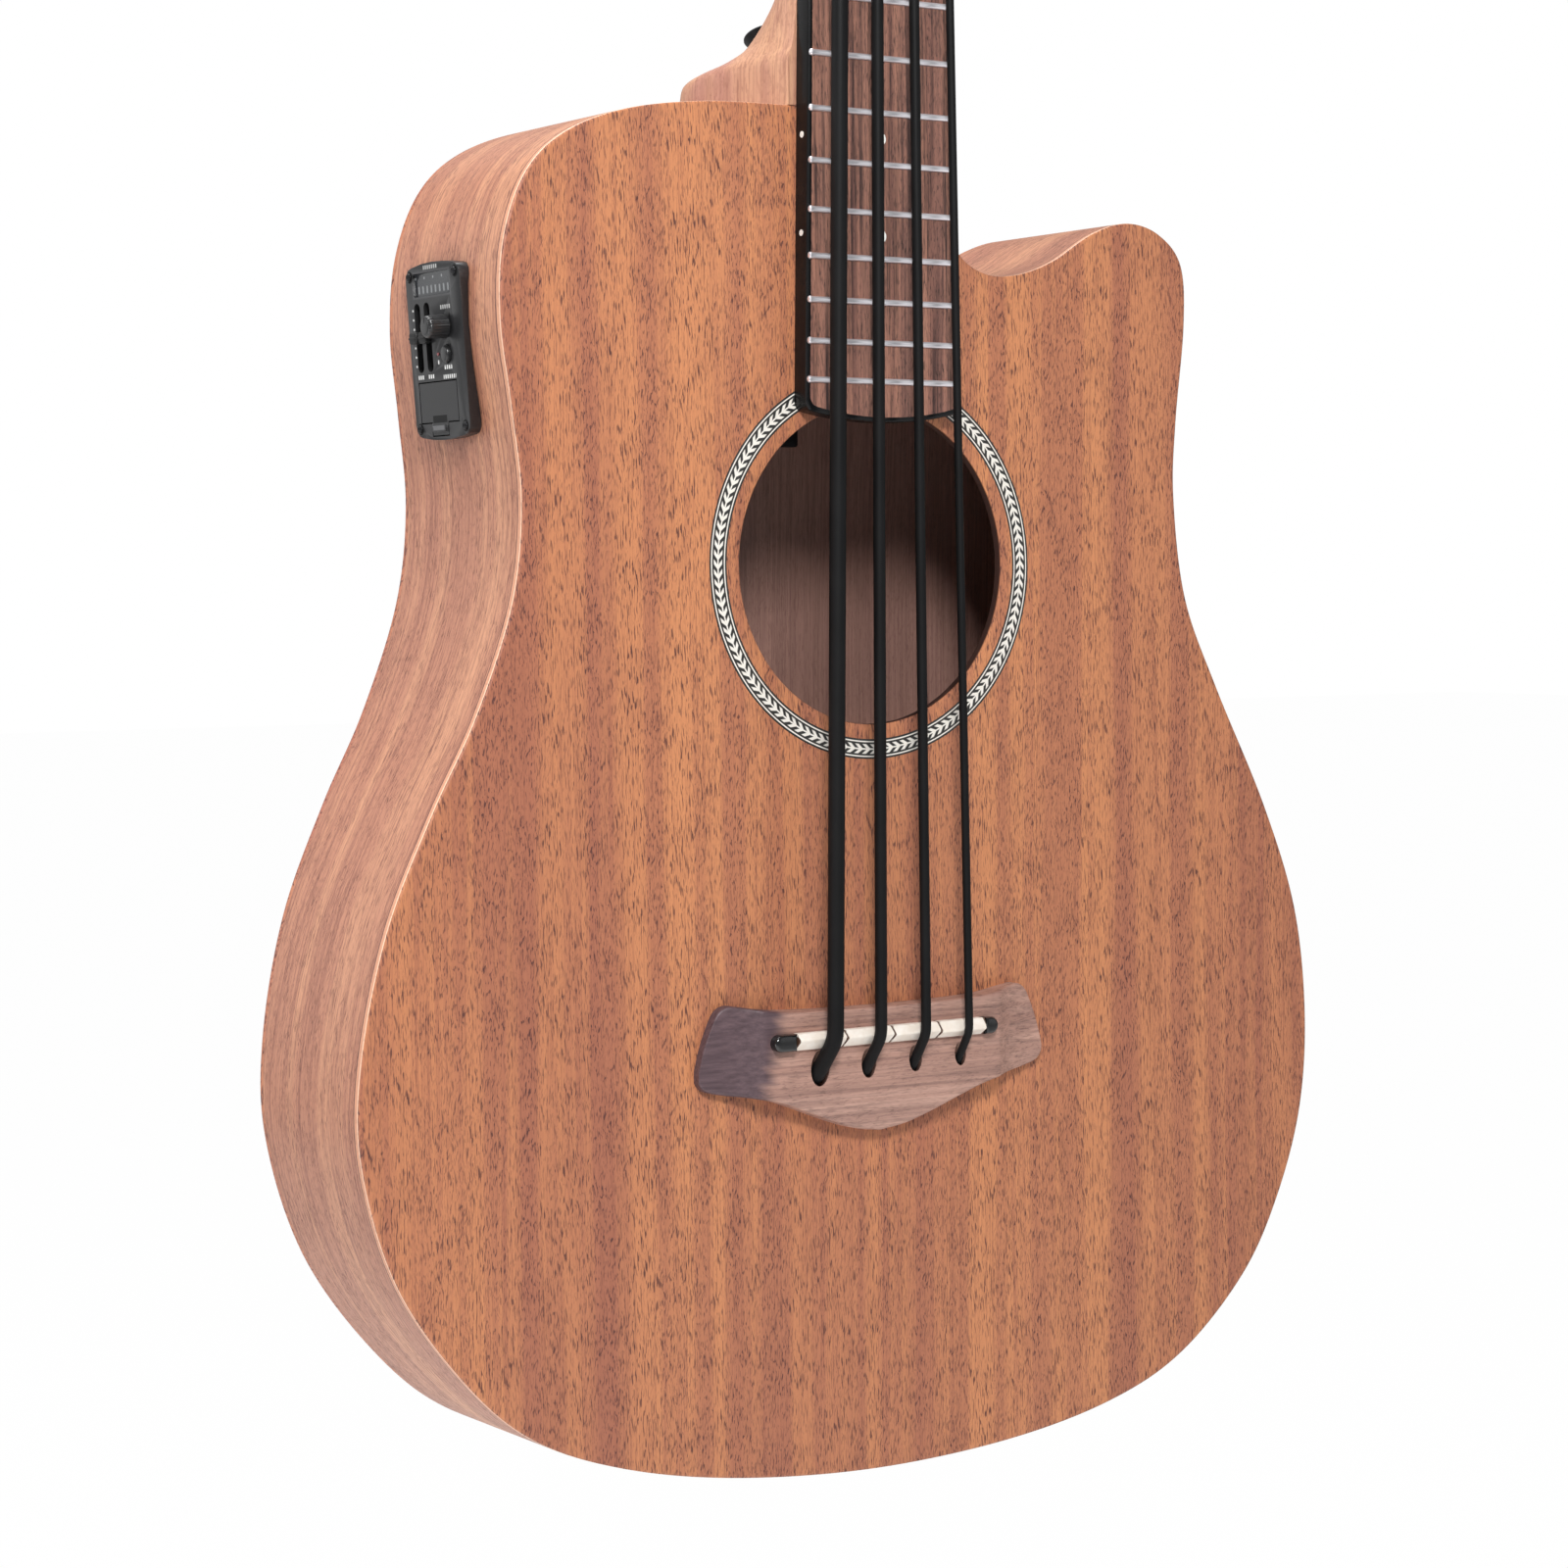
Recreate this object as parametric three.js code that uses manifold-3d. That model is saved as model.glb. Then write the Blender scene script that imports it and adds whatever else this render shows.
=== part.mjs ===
// Short-scale acoustic bass guitar with a cutaway, an arched back, rubber strings and a side preamp.
// Millimetres, +Z up the neck, the soundboard faces -Y, and the origin is on the nut line.
// Inside the model the heights are measured from the saddle line, and one group then lifts them.

import * as THREE from 'three';
import { mergeVertices } from 'three/addons/utils/BufferGeometryUtils.js';
import Module from 'manifold-3d';

const wasm = await Module();
wasm.setup();

// Scale and body
const scaleLength = 635;
const jointHeight = 284.2;
const bodyLength = 427.8;
const bodyHalfWidth = 182;
const backDepth = 80;
const backArchBelowJoint = 181.2;
const backArchHeight = jointHeight - backArchBelowJoint;
const backArchRadius = 1646;
const topThickness = 3;
const backThickness = 2.6;
const sideThickness = 2.2;
const bindingWidth = 1.6;
const seam = 0.3;
const archSeam = 0.5;
const overrun = 4;
const outlineSpread = 2;

// Soundhole and rosette
const holeHeight = 143.2;
const holeRadius = 50;
const rosetteOuterRadius = 61;
const rosetteWidth = 6.3;
const rosetteDepth = 1;
const holeSteps = 36;

// Blocks, linings and braces
const neckBlockLength = 46;
const neckBlockGap = 1.1;
const tailBlockLength = 16;
const tailBlockHalfWidth = 34;
const liningWidth = 6;
const liningHeight = 13;
const braceWidth = 8;
const braceHeight = 14;
const braceEndHeight = 4;
const crossHeight = 52;
const crossUp = 104;
const crossDown = 124;
const upperBraceBelowJoint = 70.2;
const upperBraceHeight = jointHeight - upperBraceBelowJoint;
const upperBraceReach = 98;
const upperBraceWidth = 12;
const braceShoulderShare = 0.7;
const backBraceEndShare = 0.35;
const bridgePlateThickness = 2.5;
const bridgePlateReach = 60;
const bridgePlateTop = 18;
const bridgePlateBottom = -34;
const backBars = {
  back_brace_upper: { belowJoint: 67.2, reach: 96 },
  back_brace_waist: { belowJoint: 204.2, reach: 128 },
  back_brace_lower: { belowJoint: 304.2, reach: 162 },
};
const backBraceWidth = 9;
const backBraceHeight = 12;

// Neck, heel and headstock
const nutHalfWidth = 22.6;
const boardTaper = 0.0152;
const neckDepth = 21;
const heelDepth = 72;
const heelHalfWidth = 31;
const heelFlareHeight = 60;
const neckSteps = 12;
const headTilt = THREE.MathUtils.degToRad(12);
const headLength = 152;
const headThickness = 14.5;
const headHalfWidth = 37;
const headPlateThickness = 1.5;
const rodWidth = 6;
const rodDepth = 9;
const rodHeelGap = 15.8;
const rodNutGap = 23;

// Fretboard, frets and nut
const boardThickness = 6.5;
const boardEndHeight = 187.4;
const boardEndArc = 3.4;
const boardBindingWidth = 1.5;
const boardCorner = 2.2;
const fretCount = 20;
const fretWidth = 2.4;
const fretCrown = 1;
const fretTang = 0.8;
const nutThickness = 5;
const nutRise = 12;

// Bridge and saddle
const bridgeHalfWidth = 66;
const bridgeShift = -2.3;
const bridgeTopHeight = 8.4;
const bridgeTipHeight = -34.5;
const bridgeThickness = 8.2;
const bridgeWingThickness = 3;
const bridgeFlatHalfWidth = 45;
const bridgeTipThickness = 5.5;
const bridgeTipFlat = -20;
const saddleHeight = -3.7;
const saddleHalfLength = 36;
const saddleShift = -1;
const saddleWidth = 5.4;
const saddleRise = 3.6;
const saddleShoulder = 2.4;
const saddleBackShoulder = 1.2;
const saddleSeat = 3.5;
const bassCapLength = 8.6;
const trebleCapLength = 5.4;
const capRise = 3.2;
const stringHoleHeight = -16.8;
const holeMouthShare = 0.75;
const holeTurnShare = 0.6;
const holeSlack = 1.2;

// Strings, from the thickest to the thinnest
const strings = [
  { name: 'e', diameter: 5.2, comp: 0.6, turns: 1.75 },
  { name: 'a', diameter: 3.8, comp: 0.2, turns: 2.25 },
  { name: 'd', diameter: 3.2, comp: -0.2, turns: 2.5 },
  { name: 'g', diameter: 2.6, comp: -0.7, turns: 3 },
];
const saddleSpread = 52.6;
const holeSpread = 54.6;
const spreadShift = 0.1;
const nutSpread = 31.8;
const nutStringRise = 12.4;
const saddleStringRise = bridgeThickness + saddleRise + seam;
const stringSides = 6;
const turnSteps = 12;
const windingGap = 0.6;
const beadMargin = 1.8;
const bendReachShare = 1.5;
const bendLiftShare = 0.35;
const nutReleaseShare = 0.5;

// Tuning machines, placed on the headstock by distance from the nut and from the middle
const tunerLower = 44;
const tunerUpper = 102;
const tunerLowerX = 21;
const tunerUpperX = 19;
const postRadius = 4.6;
const postHeight = 20;
const postCapRadius = 6;
const postCapThickness = 2;
const sleeveWall = 1.5;
const housingLength = 26;
const housingWidth = 18;
const housingDepth = 11;
const plateLength = 40;
const plateThickness = 1.6;
const keyShaftRadius = 2.5;
const keyEmbed = 6;
const keyLength = 20;
const keyHalfWidth = 12;
const keyHalfThickness = 5;
const keyCollarRadius = 4;
const keyBodyGap = 3;
const keySides = 10;
const wormOffset = 7;
const plateCorner = 3;
const postEmbed = 5;

// Preamp in the bass side of the upper bout
const preampBelowJoint = 76.2;
const preampHeight = jointHeight - preampBelowJoint;
const preampDepth = 36;
const panelWidth = 34;
const panelLength = 53.3;
const panelRise = 2.6;
const panelCorner = 4;
const panelArch = 1;
const boxCorner = 3;
const panelSkirt = 4;
const boxWidth = 29;
const boxLength = 47;
const boxDepth = 30;
const boxWall = 1.5;
const windowX = -1;
const windowY = 20.2;
const windowWidth = 23;
const windowLength = 7;
const windowDepth = 0.8;
const slotWidth = 2.4;
const slotY = 4.4;
const slotXs = { bass_slider: -11, treble_slider: -5 };
const sliderTravel = 7.5;
const sliderStemWidth = 1.6;
const sliderStemLength = 3;
const slotLength = 2 * sliderTravel + sliderStemLength + 2 * seam;
const sliderCapWidth = 4.4;
const sliderCapLength = 3.6;
const sliderCapHeight = 2.4;
const sliderLift = 0.4;
const knobX = 6.3;
const knobY = 7;
const knobRadius = 4.3;
const knobHeight = 5.4;
const knobShaftRadius = 2.4;
const knobFlutes = 18;
const knobFluteDepth = 0.3;
const buttonX = 6;
const buttonY = -1.2;
const buttonRadius = 2.6;
const buttonProud = 0.4;
const buttonTravel = 0.8;
const doorX = -1.5;
const doorY = -15.2;
const doorWidth = 23.5;
const doorLength = 12;
const doorThickness = 1.8;
const latchWidth = 10;
const latchLength = 4;
const latchRise = 0.7;
const cellRadius = 10;
const cellStack = 6.4;
const cellSetback = 5;

// Strap button and output jack
const strapBack = 53.5;
const strapAboveJoint = 18.55;
const strapBase = new THREE.Vector3(0, strapBack, jointHeight + strapAboveJoint);
const strapDirection = new THREE.Vector3(0, 0.4, 0.9165).normalize();
const strapHeight = 15;
const strapBaseRadius = 6;
const strapWaistRadius = 4;
const strapRimRadius = 7.5;
const strapRim = 2.4;
const strapPocket = 2.5;
const jackDepth = 36;
const jackBarrelRadius = 5.8;
const jackBarrelLength = 34;
const jackFlangeRadius = 8.5;
const jackFlangeThickness = 1.6;
const jackNutRadius = 6.4;
const jackReach = 4.8;
const jackBore = 3.3;
const boreFloor = 4;
const pickupWidth = 2.6;
const pickupThickness = 0.9;

const tailHeight = jointHeight - bodyLength;
const roundSides = 12;
const hexSides = 6;

// Outline of each side of the body, from the neck joint to the tail, then back up to the joint:
// shares of the half width and of the body length.
const bassShares = [
  [0.148, 1], [0.33, 0.998], [0.489, 0.988], [0.608, 0.968], [0.681, 0.938], [0.721, 0.892],
  [0.7275, 0.838], [0.709, 0.78], [0.692, 0.714], [0.7115, 0.644], [0.78, 0.567], [0.8625, 0.501],
  [0.9455, 0.423], [0.994, 0.336], [0.996, 0.2655], [0.938, 0.183], [0.824, 0.1125], [0.692, 0.062],
  [0.511, 0.03], [0.279, 0.0095],
];
const tailShares = [[0, 0]];
const trebleShares = [
  [0.286, 0.0045], [0.522, 0.0215], [0.692, 0.051], [0.8395, 0.1055], [0.925, 0.165], [0.981, 0.235],
  [0.994, 0.312], [0.967, 0.3965], [0.891, 0.48], [0.775, 0.574], [0.7005, 0.644], [0.6735, 0.7215],
  [0.6785, 0.78], [0.698, 0.8545], [0.691, 0.9015], [0.639, 0.9245], [0.5655, 0.9315], [0.4835, 0.9215],
  [0.3955, 0.8995], [0.3185, 0.888], [0.247, 0.887], [0.1895, 0.9], [0.162, 0.9245], [0.15, 0.962],
  [0.148, 1],
];

// Heel stations: share of the flare height, shares of the heel's extra width and depth, and squareness
const heelShares = [
  [0, 1, 1, 9], [0.12, 1, 1, 8.5], [0.2, 1, 0.99, 8], [0.24, 0.95, 0.97, 6.6], [0.27, 0.8, 0.9, 5],
  [0.297, 0.6, 0.78, 3.6], [0.33, 0.45, 0.68, 2.8], [0.363, 0.35, 0.61, 2.4], [0.423, 0.25, 0.51, 2.2],
  [0.497, 0.15, 0.385, 2.1], [0.585, 0.08, 0.26, 2], [0.672, 0.03, 0.17, 2], [0.755, 0, 0.115, 2],
  [0.87, 0, 0.07, 2], [1.05, 0, 0.03, 2], [1.35, 0, 0, 2],
];

// Where the shaft runs out into the headstock: shares of the head's thickness, the width and the depth
const voluteShares = [[0.7, 0.98, 0.93], [1.9, 0.9, 0.99]];

// Place of each string in the spread at the saddle and at the holes
const stringShares = [-0.5, -0.16, 0.174, 0.5];

// Rise of a brace along its length, and the section of a fret: shares of its length and its rise
const braceRiseShares = [[0, 0], [0.08, 0.1], [0.22, 0.75], [0.5, 1], [0.78, 0.75], [0.92, 0.1], [1, 0]];
const fretShares = [[-1, 0], [1, 0], [1, 0.5], [0.6, 0.88], [0, 1], [-0.6, 0.88], [-1, 0.5]];

// End of the fretboard: shares of the half width and of the corner's rounding
const boardEndShares = [[-1, 1], [-0.97, 0.3], [-0.9, 0], [-0.5, 0], [0, 0], [0.5, 0], [0.9, 0], [0.97, 0.3], [1, 1]];

// Scoop of a bridge wing, and the profile of a tuner key: shares of its reach and of its fall or width
const scoopShares = [[0, 0], [0.15, 0.3], [0.35, 0.62], [0.6, 0.86], [0.8, 0.96], [1, 1]];
const keyShares = [[0, 0], [0.3, 0], [0.38, 0.14], [0.8, 0.3], [1, 0.58], [0.92, 0.84], [0.6, 0.97], [0, 1]];

// Bridge outline, right half from the middle of the top edge: shares of half width and of height
const bridgeShares = [
  [0, 0.918], [0.35, 0.924], [0.6, 0.942], [0.78, 0.985], [0.84, 0.995], [0.885, 0.965], [0.915, 0.9],
  [0.965, 0.72], [1, 0.52], [0.995, 0.45], [0.96, 0.395], [0.87, 0.36], [0.74, 0.33], [0.6, 0.282],
  [0.45, 0.2], [0.3, 0.11], [0.15, 0.035], [0, 0],
];

// Headstock outline, right half from the nut: shares of half width and of length
const headShares = [
  [0.61, 0], [0.63, 0.03], [0.7, 0.09], [0.86, 0.16], [0.96, 0.24], [1, 0.34], [0.985, 0.6],
  [0.96, 0.85], [0.93, 0.93], [0.84, 0.965], [0.6, 0.975], [0.3, 0.99], [0, 1],
];

const materials = {
  top: [0xc27c56, 0.55, 0],
  side: [0xcc9470, 0.5, 0],
  neckWood: [0xd8a67c, 0.5, 0],
  innerWood: [0xc9a27a, 0.75, 0],
  rosewood: [0x5e4238, 0.55, 0],
  cream: [0xe9dcc0, 0.4, 0],
  black: [0x151515, 0.4, 0],
  rubber: [0x101010, 0.7, 0],
  steel: [0xb9bcc0, 0.3, 1],
  inlay: [0xd9d6cc, 0.5, 0],
};

strings.forEach((s, i) => {
  s.saddleX = spreadShift + saddleSpread * stringShares[i];
  s.holeX = spreadShift + holeSpread * stringShares[i];
});

const model = new THREE.Group();
model.position.set(0, 0, -scaleLength);

// Adds one named piece to a group, with a material of its own.
function addPiece(name, geometry, materialName, parent = model) {
  const [color, roughness, metalness] = materials[materialName];
  const piece = new THREE.Mesh(geometry, new THREE.MeshStandardMaterial({ color, roughness, metalness }));
  piece.name = name;
  parent.add(piece);
  return piece;
}

// Turns a closed geometry into a solid for a cut or a join.
function toSolid(geometry) {
  const bare = geometry.clone();
  bare.deleteAttribute('normal');
  bare.deleteAttribute('uv');
  const merged = mergeVertices(bare, 1e-5);
  const index = Array.from(merged.index.array);
  const corners = index.filter((_, i) => {
    const [a, b, c] = index.slice(i - (i % 3), i - (i % 3) + 3);
    return a !== b && b !== c && c !== a;
  });
  return new wasm.Manifold(new wasm.Mesh({
    numProp: 3,
    vertProperties: new Float32Array(merged.attributes.position.array),
    triVerts: new Uint32Array(corners),
  }));
}

function toGeometry(solid) {
  const mesh = solid.getMesh();
  const geometry = new THREE.BufferGeometry();
  geometry.setAttribute('position', new THREE.BufferAttribute(new Float32Array(mesh.vertProperties), 3));
  geometry.setIndex(new THREE.BufferAttribute(new Uint32Array(mesh.triVerts), 1));
  geometry.computeVertexNormals();
  return geometry;
}

function cut(geometry, ...tools) {
  return toGeometry(tools.reduce((solid, tool) => solid.subtract(toSolid(tool)), toSolid(geometry)));
}

function join(geometry, ...others) {
  return toGeometry(others.reduce((solid, other) => solid.add(toSolid(other)), toSolid(geometry)));
}

function meet(geometry, other) {
  return toGeometry(toSolid(geometry).intersect(toSolid(other)));
}

// A flat outline [x, z] with holes, given thickness from yFront to yBack.
function prism(outline, yFront, yBack, holes = []) {
  const shape = new THREE.Shape(outline.map(([x, z]) => new THREE.Vector2(x, z)));
  shape.holes = holes.map((hole) => new THREE.Path(hole.map(([x, z]) => new THREE.Vector2(x, z))));
  const geometry = new THREE.ExtrudeGeometry(shape, { depth: 1, bevelEnabled: false });
  const position = geometry.attributes.position;
  for (let i = 0; i < position.count; i += 1) {
    const y = position.getZ(i) > 0.5 ? yFront : yBack;
    position.setXYZ(i, position.getX(i), y, position.getY(i));
  }
  return geometry;
}

// The same in a piece's own frame: an outline [x, y] raised from one height to another along z.
function slab(outline, low, high, holes = []) {
  const shape = new THREE.Shape(outline.map(([x, y]) => new THREE.Vector2(x, y)));
  shape.holes = holes.map((hole) => new THREE.Path(hole.map(([x, y]) => new THREE.Vector2(x, y))));
  const geometry = new THREE.ExtrudeGeometry(shape, { depth: high - low, bevelEnabled: false });
  return geometry.translate(0, 0, low);
}

// Skins a row of rings of equal count, closed at both ends or joined into a loop.
function loft(rings, looped = false, centres = []) {
  const count = rings[0].length;
  const points = rings.flat().map((p) => [p.x, p.y, p.z]);
  const faces = [];
  const rows = looped ? rings.length : rings.length - 1;
  for (let r = 0; r < rows; r += 1) {
    const a = r * count;
    const b = ((r + 1) % rings.length) * count;
    for (let i = 0; i < count; i += 1) {
      const j = (i + 1) % count;
      faces.push([a + i, a + j, b + j], [a + i, b + j, b + i]);
    }
  }
  if (!looped) {
    [0, rings.length - 1].forEach((r, end) => {
      const ring = rings[r];
      const middle = centres[end] ?? ring.reduce((sum, p) => sum.add(p), new THREE.Vector3()).divideScalar(count);
      const hub = points.push([middle.x, middle.y, middle.z]) - 1;
      for (let i = 0; i < count; i += 1) {
        const j = (i + 1) % count;
        faces.push(end === 0 ? [hub, r * count + j, r * count + i] : [hub, r * count + i, r * count + j]);
      }
    });
  }
  return closedMesh(points, faces);
}

// A mesh from points and faces, with its faces turned to point out.
function closedMesh(points, faces) {
  const volume = faces.reduce((sum, [a, b, c]) => {
    const [p, q, r] = [points[a], points[b], points[c]].map((v) => new THREE.Vector3(...v));
    return sum + p.dot(q.cross(r));
  }, 0);
  const turned = volume > 0 ? faces : faces.map(([a, b, c]) => [a, c, b]);
  const geometry = new THREE.BufferGeometry();
  geometry.setAttribute('position', new THREE.Float32BufferAttribute(points.flat(), 3));
  geometry.setIndex(turned.flat());
  geometry.computeVertexNormals();
  return geometry;
}

// Moves a closed outline inwards (or outwards, with a negative distance), with mitred corners.
function inset(points, distance) {
  return points.map(([x, z], i) => {
    const [px, pz] = points[(i + points.length - 1) % points.length];
    const [nx, nz] = points[(i + 1) % points.length];
    const before = new THREE.Vector2(pz - z, x - px).normalize();
    const after = new THREE.Vector2(z - nz, nx - x).normalize();
    const middle = before.clone().add(after).normalize();
    const reach = distance / middle.dot(before);
    return [x + middle.x * reach, z + middle.y * reach];
  });
}

function circle(radius, cx = 0, cy = 0, steps = roundSides) {
  return Array.from({ length: steps }, (_, i) => {
    const angle = (i / steps) * Math.PI * 2;
    return [cx + radius * Math.cos(angle), cy + radius * Math.sin(angle)];
  });
}

// A rectangle with rounded corners, each an arc of a few steps.
function roundedBox(width, length, corner, cx = 0, cy = 0, steps = 3) {
  const points = [];
  [[1, 1], [-1, 1], [-1, -1], [1, -1]].forEach(([sx, sy], quarter) => {
    for (let i = 0; i <= steps; i += 1) {
      const angle = (quarter + i / steps) * (Math.PI / 2);
      points.push([
        cx + sx * (width / 2 - corner) + corner * Math.cos(angle),
        cy + sy * (length / 2 - corner) + corner * Math.sin(angle),
      ]);
    }
  });
  return points;
}

// A turned piece about its own z axis, from a profile of [radius, height].
function turned(profile, sides = roundSides) {
  const points = profile.map(([radius, height]) => new THREE.Vector2(radius, height));
  return new THREE.LatheGeometry(points, sides).rotateX(Math.PI / 2);
}

// Depth of the arched back's outer face at a place on the body.
function backAt(x, z) {
  return backDepth - (x ** 2 + (z - backArchHeight) ** 2) / (2 * backArchRadius);
}

const outline = (() => {
  const place = (side) => ([x, z]) => new THREE.Vector2(side * x * bodyHalfWidth, tailHeight + z * bodyLength);
  const control = [
    ...bassShares.map(place(-1)), ...tailShares.map(place(1)), ...trebleShares.map(place(1)),
  ];
  const curve = new THREE.SplineCurve(control);
  return curve.getPoints((control.length - 1) * outlineSpread).map((p) => [p.x, p.y]);
})();
const tailIndex = bassShares.length * outlineSpread;
const topMiddle = [0, jointHeight];

// A wall between two outlines, whose front and back edges are functions of the place on the body.
function wall(outer, inner, front, back, looped) {
  const rings = outer.map(([x, z], i) => {
    const [u, w] = inner[i];
    return [
      new THREE.Vector3(x, front(x, z), z), new THREE.Vector3(x, back(x, z), z),
      new THREE.Vector3(u, back(u, w), w), new THREE.Vector3(u, front(u, w), w),
    ];
  });
  return loft(rings, looped);
}

// Soundboard, rosette and edge binding
function soundboard() {
  const hole = circle(holeRadius, 0, holeHeight, holeSteps);
  const plate = prism(inset(outline, bindingWidth + seam), 0, topThickness, [hole]);
  const groove = prism(
    circle(rosetteOuterRadius + seam, 0, holeHeight, holeSteps), -overrun, rosetteDepth,
    [circle(rosetteOuterRadius - rosetteWidth - seam, 0, holeHeight, holeSteps)],
  );
  const stringHoles = strings.map((s) => rod(
    s.diameter / 2 + holeSlack, s.holeX, stringHoleHeight, -overrun, topThickness + overrun,
  ));
  return cut(plate, groove, ...stringHoles);
}

// A round bar square to the soundboard, between two depths.
function rod(radius, x, z, yFront, yBack, steps = roundSides) {
  return prism(circle(radius, x, z, steps), yFront, yBack);
}

addPiece('soundboard', soundboard(), 'top');
addPiece('rosette', prism(
  circle(rosetteOuterRadius, 0, holeHeight, holeSteps), 0, rosetteDepth,
  [circle(rosetteOuterRadius - rosetteWidth, 0, holeHeight, holeSteps)],
), 'inlay');
addPiece('top_binding', prism(outline, 0, topThickness, [inset(outline, bindingWidth)]), 'cream');

// Sides, each from the middle of the top to the middle of the tail
const innerOutline = inset(outline, sideThickness);
const innerTop = [0, jointHeight - sideThickness];
const innerTail = [0, innerOutline[tailIndex][1]];
const tailSeam = seam / 2;
const sideBack = (x, z) => backAt(x, z) - backThickness - archSeam;
const sideFront = () => topThickness;

function sideWall(side) {
  const chosen = side < 0
    ? [outline.slice(0, tailIndex), innerOutline.slice(0, tailIndex)]
    : [outline.slice(tailIndex + 1), innerOutline.slice(tailIndex + 1)];
  const nudge = ([x, z]) => [x + side * tailSeam, z];
  const tail = [nudge(outline[tailIndex]), nudge(innerTail)];
  const top = [nudge(topMiddle), nudge(innerTop)];
  const [first, last] = side < 0 ? [top, tail] : [tail, top];
  return wall(
    [first[0], ...chosen[0], last[0]], [first[1], ...chosen[1], last[1]], sideFront, sideBack, false,
  );
}

const jackHole = turned([
  [0, -overrun], [jackBarrelRadius + seam, -overrun],
  [jackBarrelRadius + seam, jackBarrelLength], [0, jackBarrelLength],
]).translate(0, jackDepth, tailHeight);

// Frame of the preamp: right, up and out of its panel
const preampPlace = (() => {
  const near = (z) => {
    const i = outline.findIndex(([, height], k) => k < tailIndex && height < z);
    const [[x0, z0], [x1, z1]] = [outline[i - 1], outline[i]];
    return x0 + ((z0 - z) / (z0 - z1)) * (x1 - x0);
  };
  const low = near(preampHeight - panelLength / 2);
  const high = near(preampHeight + panelLength / 2);
  const lean = Math.atan2(high - low, panelLength);
  const right = new THREE.Vector3(0, -1, 0);
  const up = new THREE.Vector3(Math.sin(lean), 0, Math.cos(lean));
  const out = new THREE.Vector3().crossVectors(right, up);
  const matrix = new THREE.Matrix4().makeBasis(right, up, out);
  return matrix.setPosition(near(preampHeight), preampDepth, preampHeight);
})();
const preampHole = slab(
  roundedBox(boxWidth + 2 * seam, boxLength + 2 * seam, boxCorner), -sideThickness * 4, overrun,
).applyMatrix4(preampPlace);

addPiece('side_bass', cut(sideWall(-1), preampHole, jackHole), 'side');
addPiece('side_treble', cut(sideWall(1), jackHole), 'side');

// Arched back: rings of the outline drawn in towards the middle of the arch
function backPlate() {
  const ringShares = [0.25, 0.5, 0.75, 1];
  const face = (offset) => ringShares.map((share) => outline.map(([x, z]) => {
    const px = x * share;
    const pz = backArchHeight + (z - backArchHeight) * share;
    return new THREE.Vector3(px, backAt(px, pz) - offset, pz);
  }));
  const centre = (offset) => new THREE.Vector3(0, backDepth - offset, backArchHeight);
  const rings = [...face(0), ...face(backThickness).reverse()];
  return loft(rings, false, [centre(0), centre(backThickness)]);
}
addPiece('back', backPlate(), 'top');

// Linings glued into the corners of the sides: a foot on the plate, tapering along the side
const liningOuter = inset(outline, sideThickness + seam);
const liningInner = inset(outline, sideThickness + seam + liningWidth);
// One lining strip between the blocks, on one side of the body.
function liningStrip(side, front) {
  const keep = liningOuter.map(([x, z], i) => ({ x, z, i })).filter(({ x, z }) => (
    x * side > tailBlockHalfWidth + liningWidth && z > tailHeight
  ));
  const rings = keep.map(({ x, z, i }) => {
    const [u, w] = liningInner[i];
    const foot = (px, pz) => (front ? topThickness : sideBack(px, pz));
    const rise = front ? 1 : -1;
    return [
      new THREE.Vector3(x, foot(x, z), z), new THREE.Vector3(u, foot(u, w), w),
      new THREE.Vector3(x, foot(x, z) + rise * liningHeight, z),
    ];
  });
  return loft(rings);
}
addPiece('lining_top_bass', liningStrip(-1, true), 'innerWood');
addPiece('lining_top_treble', liningStrip(1, true), 'innerWood');
addPiece('lining_back_bass', liningStrip(-1, false), 'innerWood');
addPiece('lining_back_treble', liningStrip(1, false), 'innerWood');

// A block between the two plates, whose back face follows the arch.
function block(halfWidth, low, high, slices = 4) {
  const rings = Array.from({ length: slices + 1 }, (_, i) => {
    const z = low + ((high - low) * i) / slices;
    return [
      new THREE.Vector3(-halfWidth, topThickness, z), new THREE.Vector3(halfWidth, topThickness, z),
      new THREE.Vector3(halfWidth, sideBack(halfWidth, z), z),
      new THREE.Vector3(-halfWidth, sideBack(halfWidth, z), z),
    ];
  });
  return loft(rings);
}
const neckBlockTop = jointHeight - sideThickness - seam;
const neckBlockHalfWidth = bassShares[0][0] * bodyHalfWidth - sideThickness - neckBlockGap;
addPiece('neck_block', block(neckBlockHalfWidth, neckBlockTop - neckBlockLength, neckBlockTop), 'innerWood');

// Height of the inside of the tail at a distance from the middle.
function tailInside(x) {
  const tail = innerOutline.filter(([, z]) => z < 0);
  const i = Math.max(1, tail.findIndex(([px]) => px >= x));
  const [[x0, z0], [x1, z1]] = [tail[i - 1], tail[i]];
  return z0 + ((x - x0) / (x1 - x0)) * (z1 - z0);
}

function tailBlock(slices = 6) {
  const rings = Array.from({ length: slices + 1 }, (_, i) => {
    const x = tailBlockHalfWidth * ((2 * i) / slices - 1);
    const low = tailInside(x) + seam;
    const high = tailHeight + tailBlockLength;
    return [
      new THREE.Vector3(x, topThickness, low), new THREE.Vector3(x, topThickness, high),
      new THREE.Vector3(x, sideBack(x, high), high), new THREE.Vector3(x, sideBack(x, low), low),
    ];
  });
  return cut(loft(rings), jackHole);
}
addPiece('tail_block', tailBlock(), 'innerWood');

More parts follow.
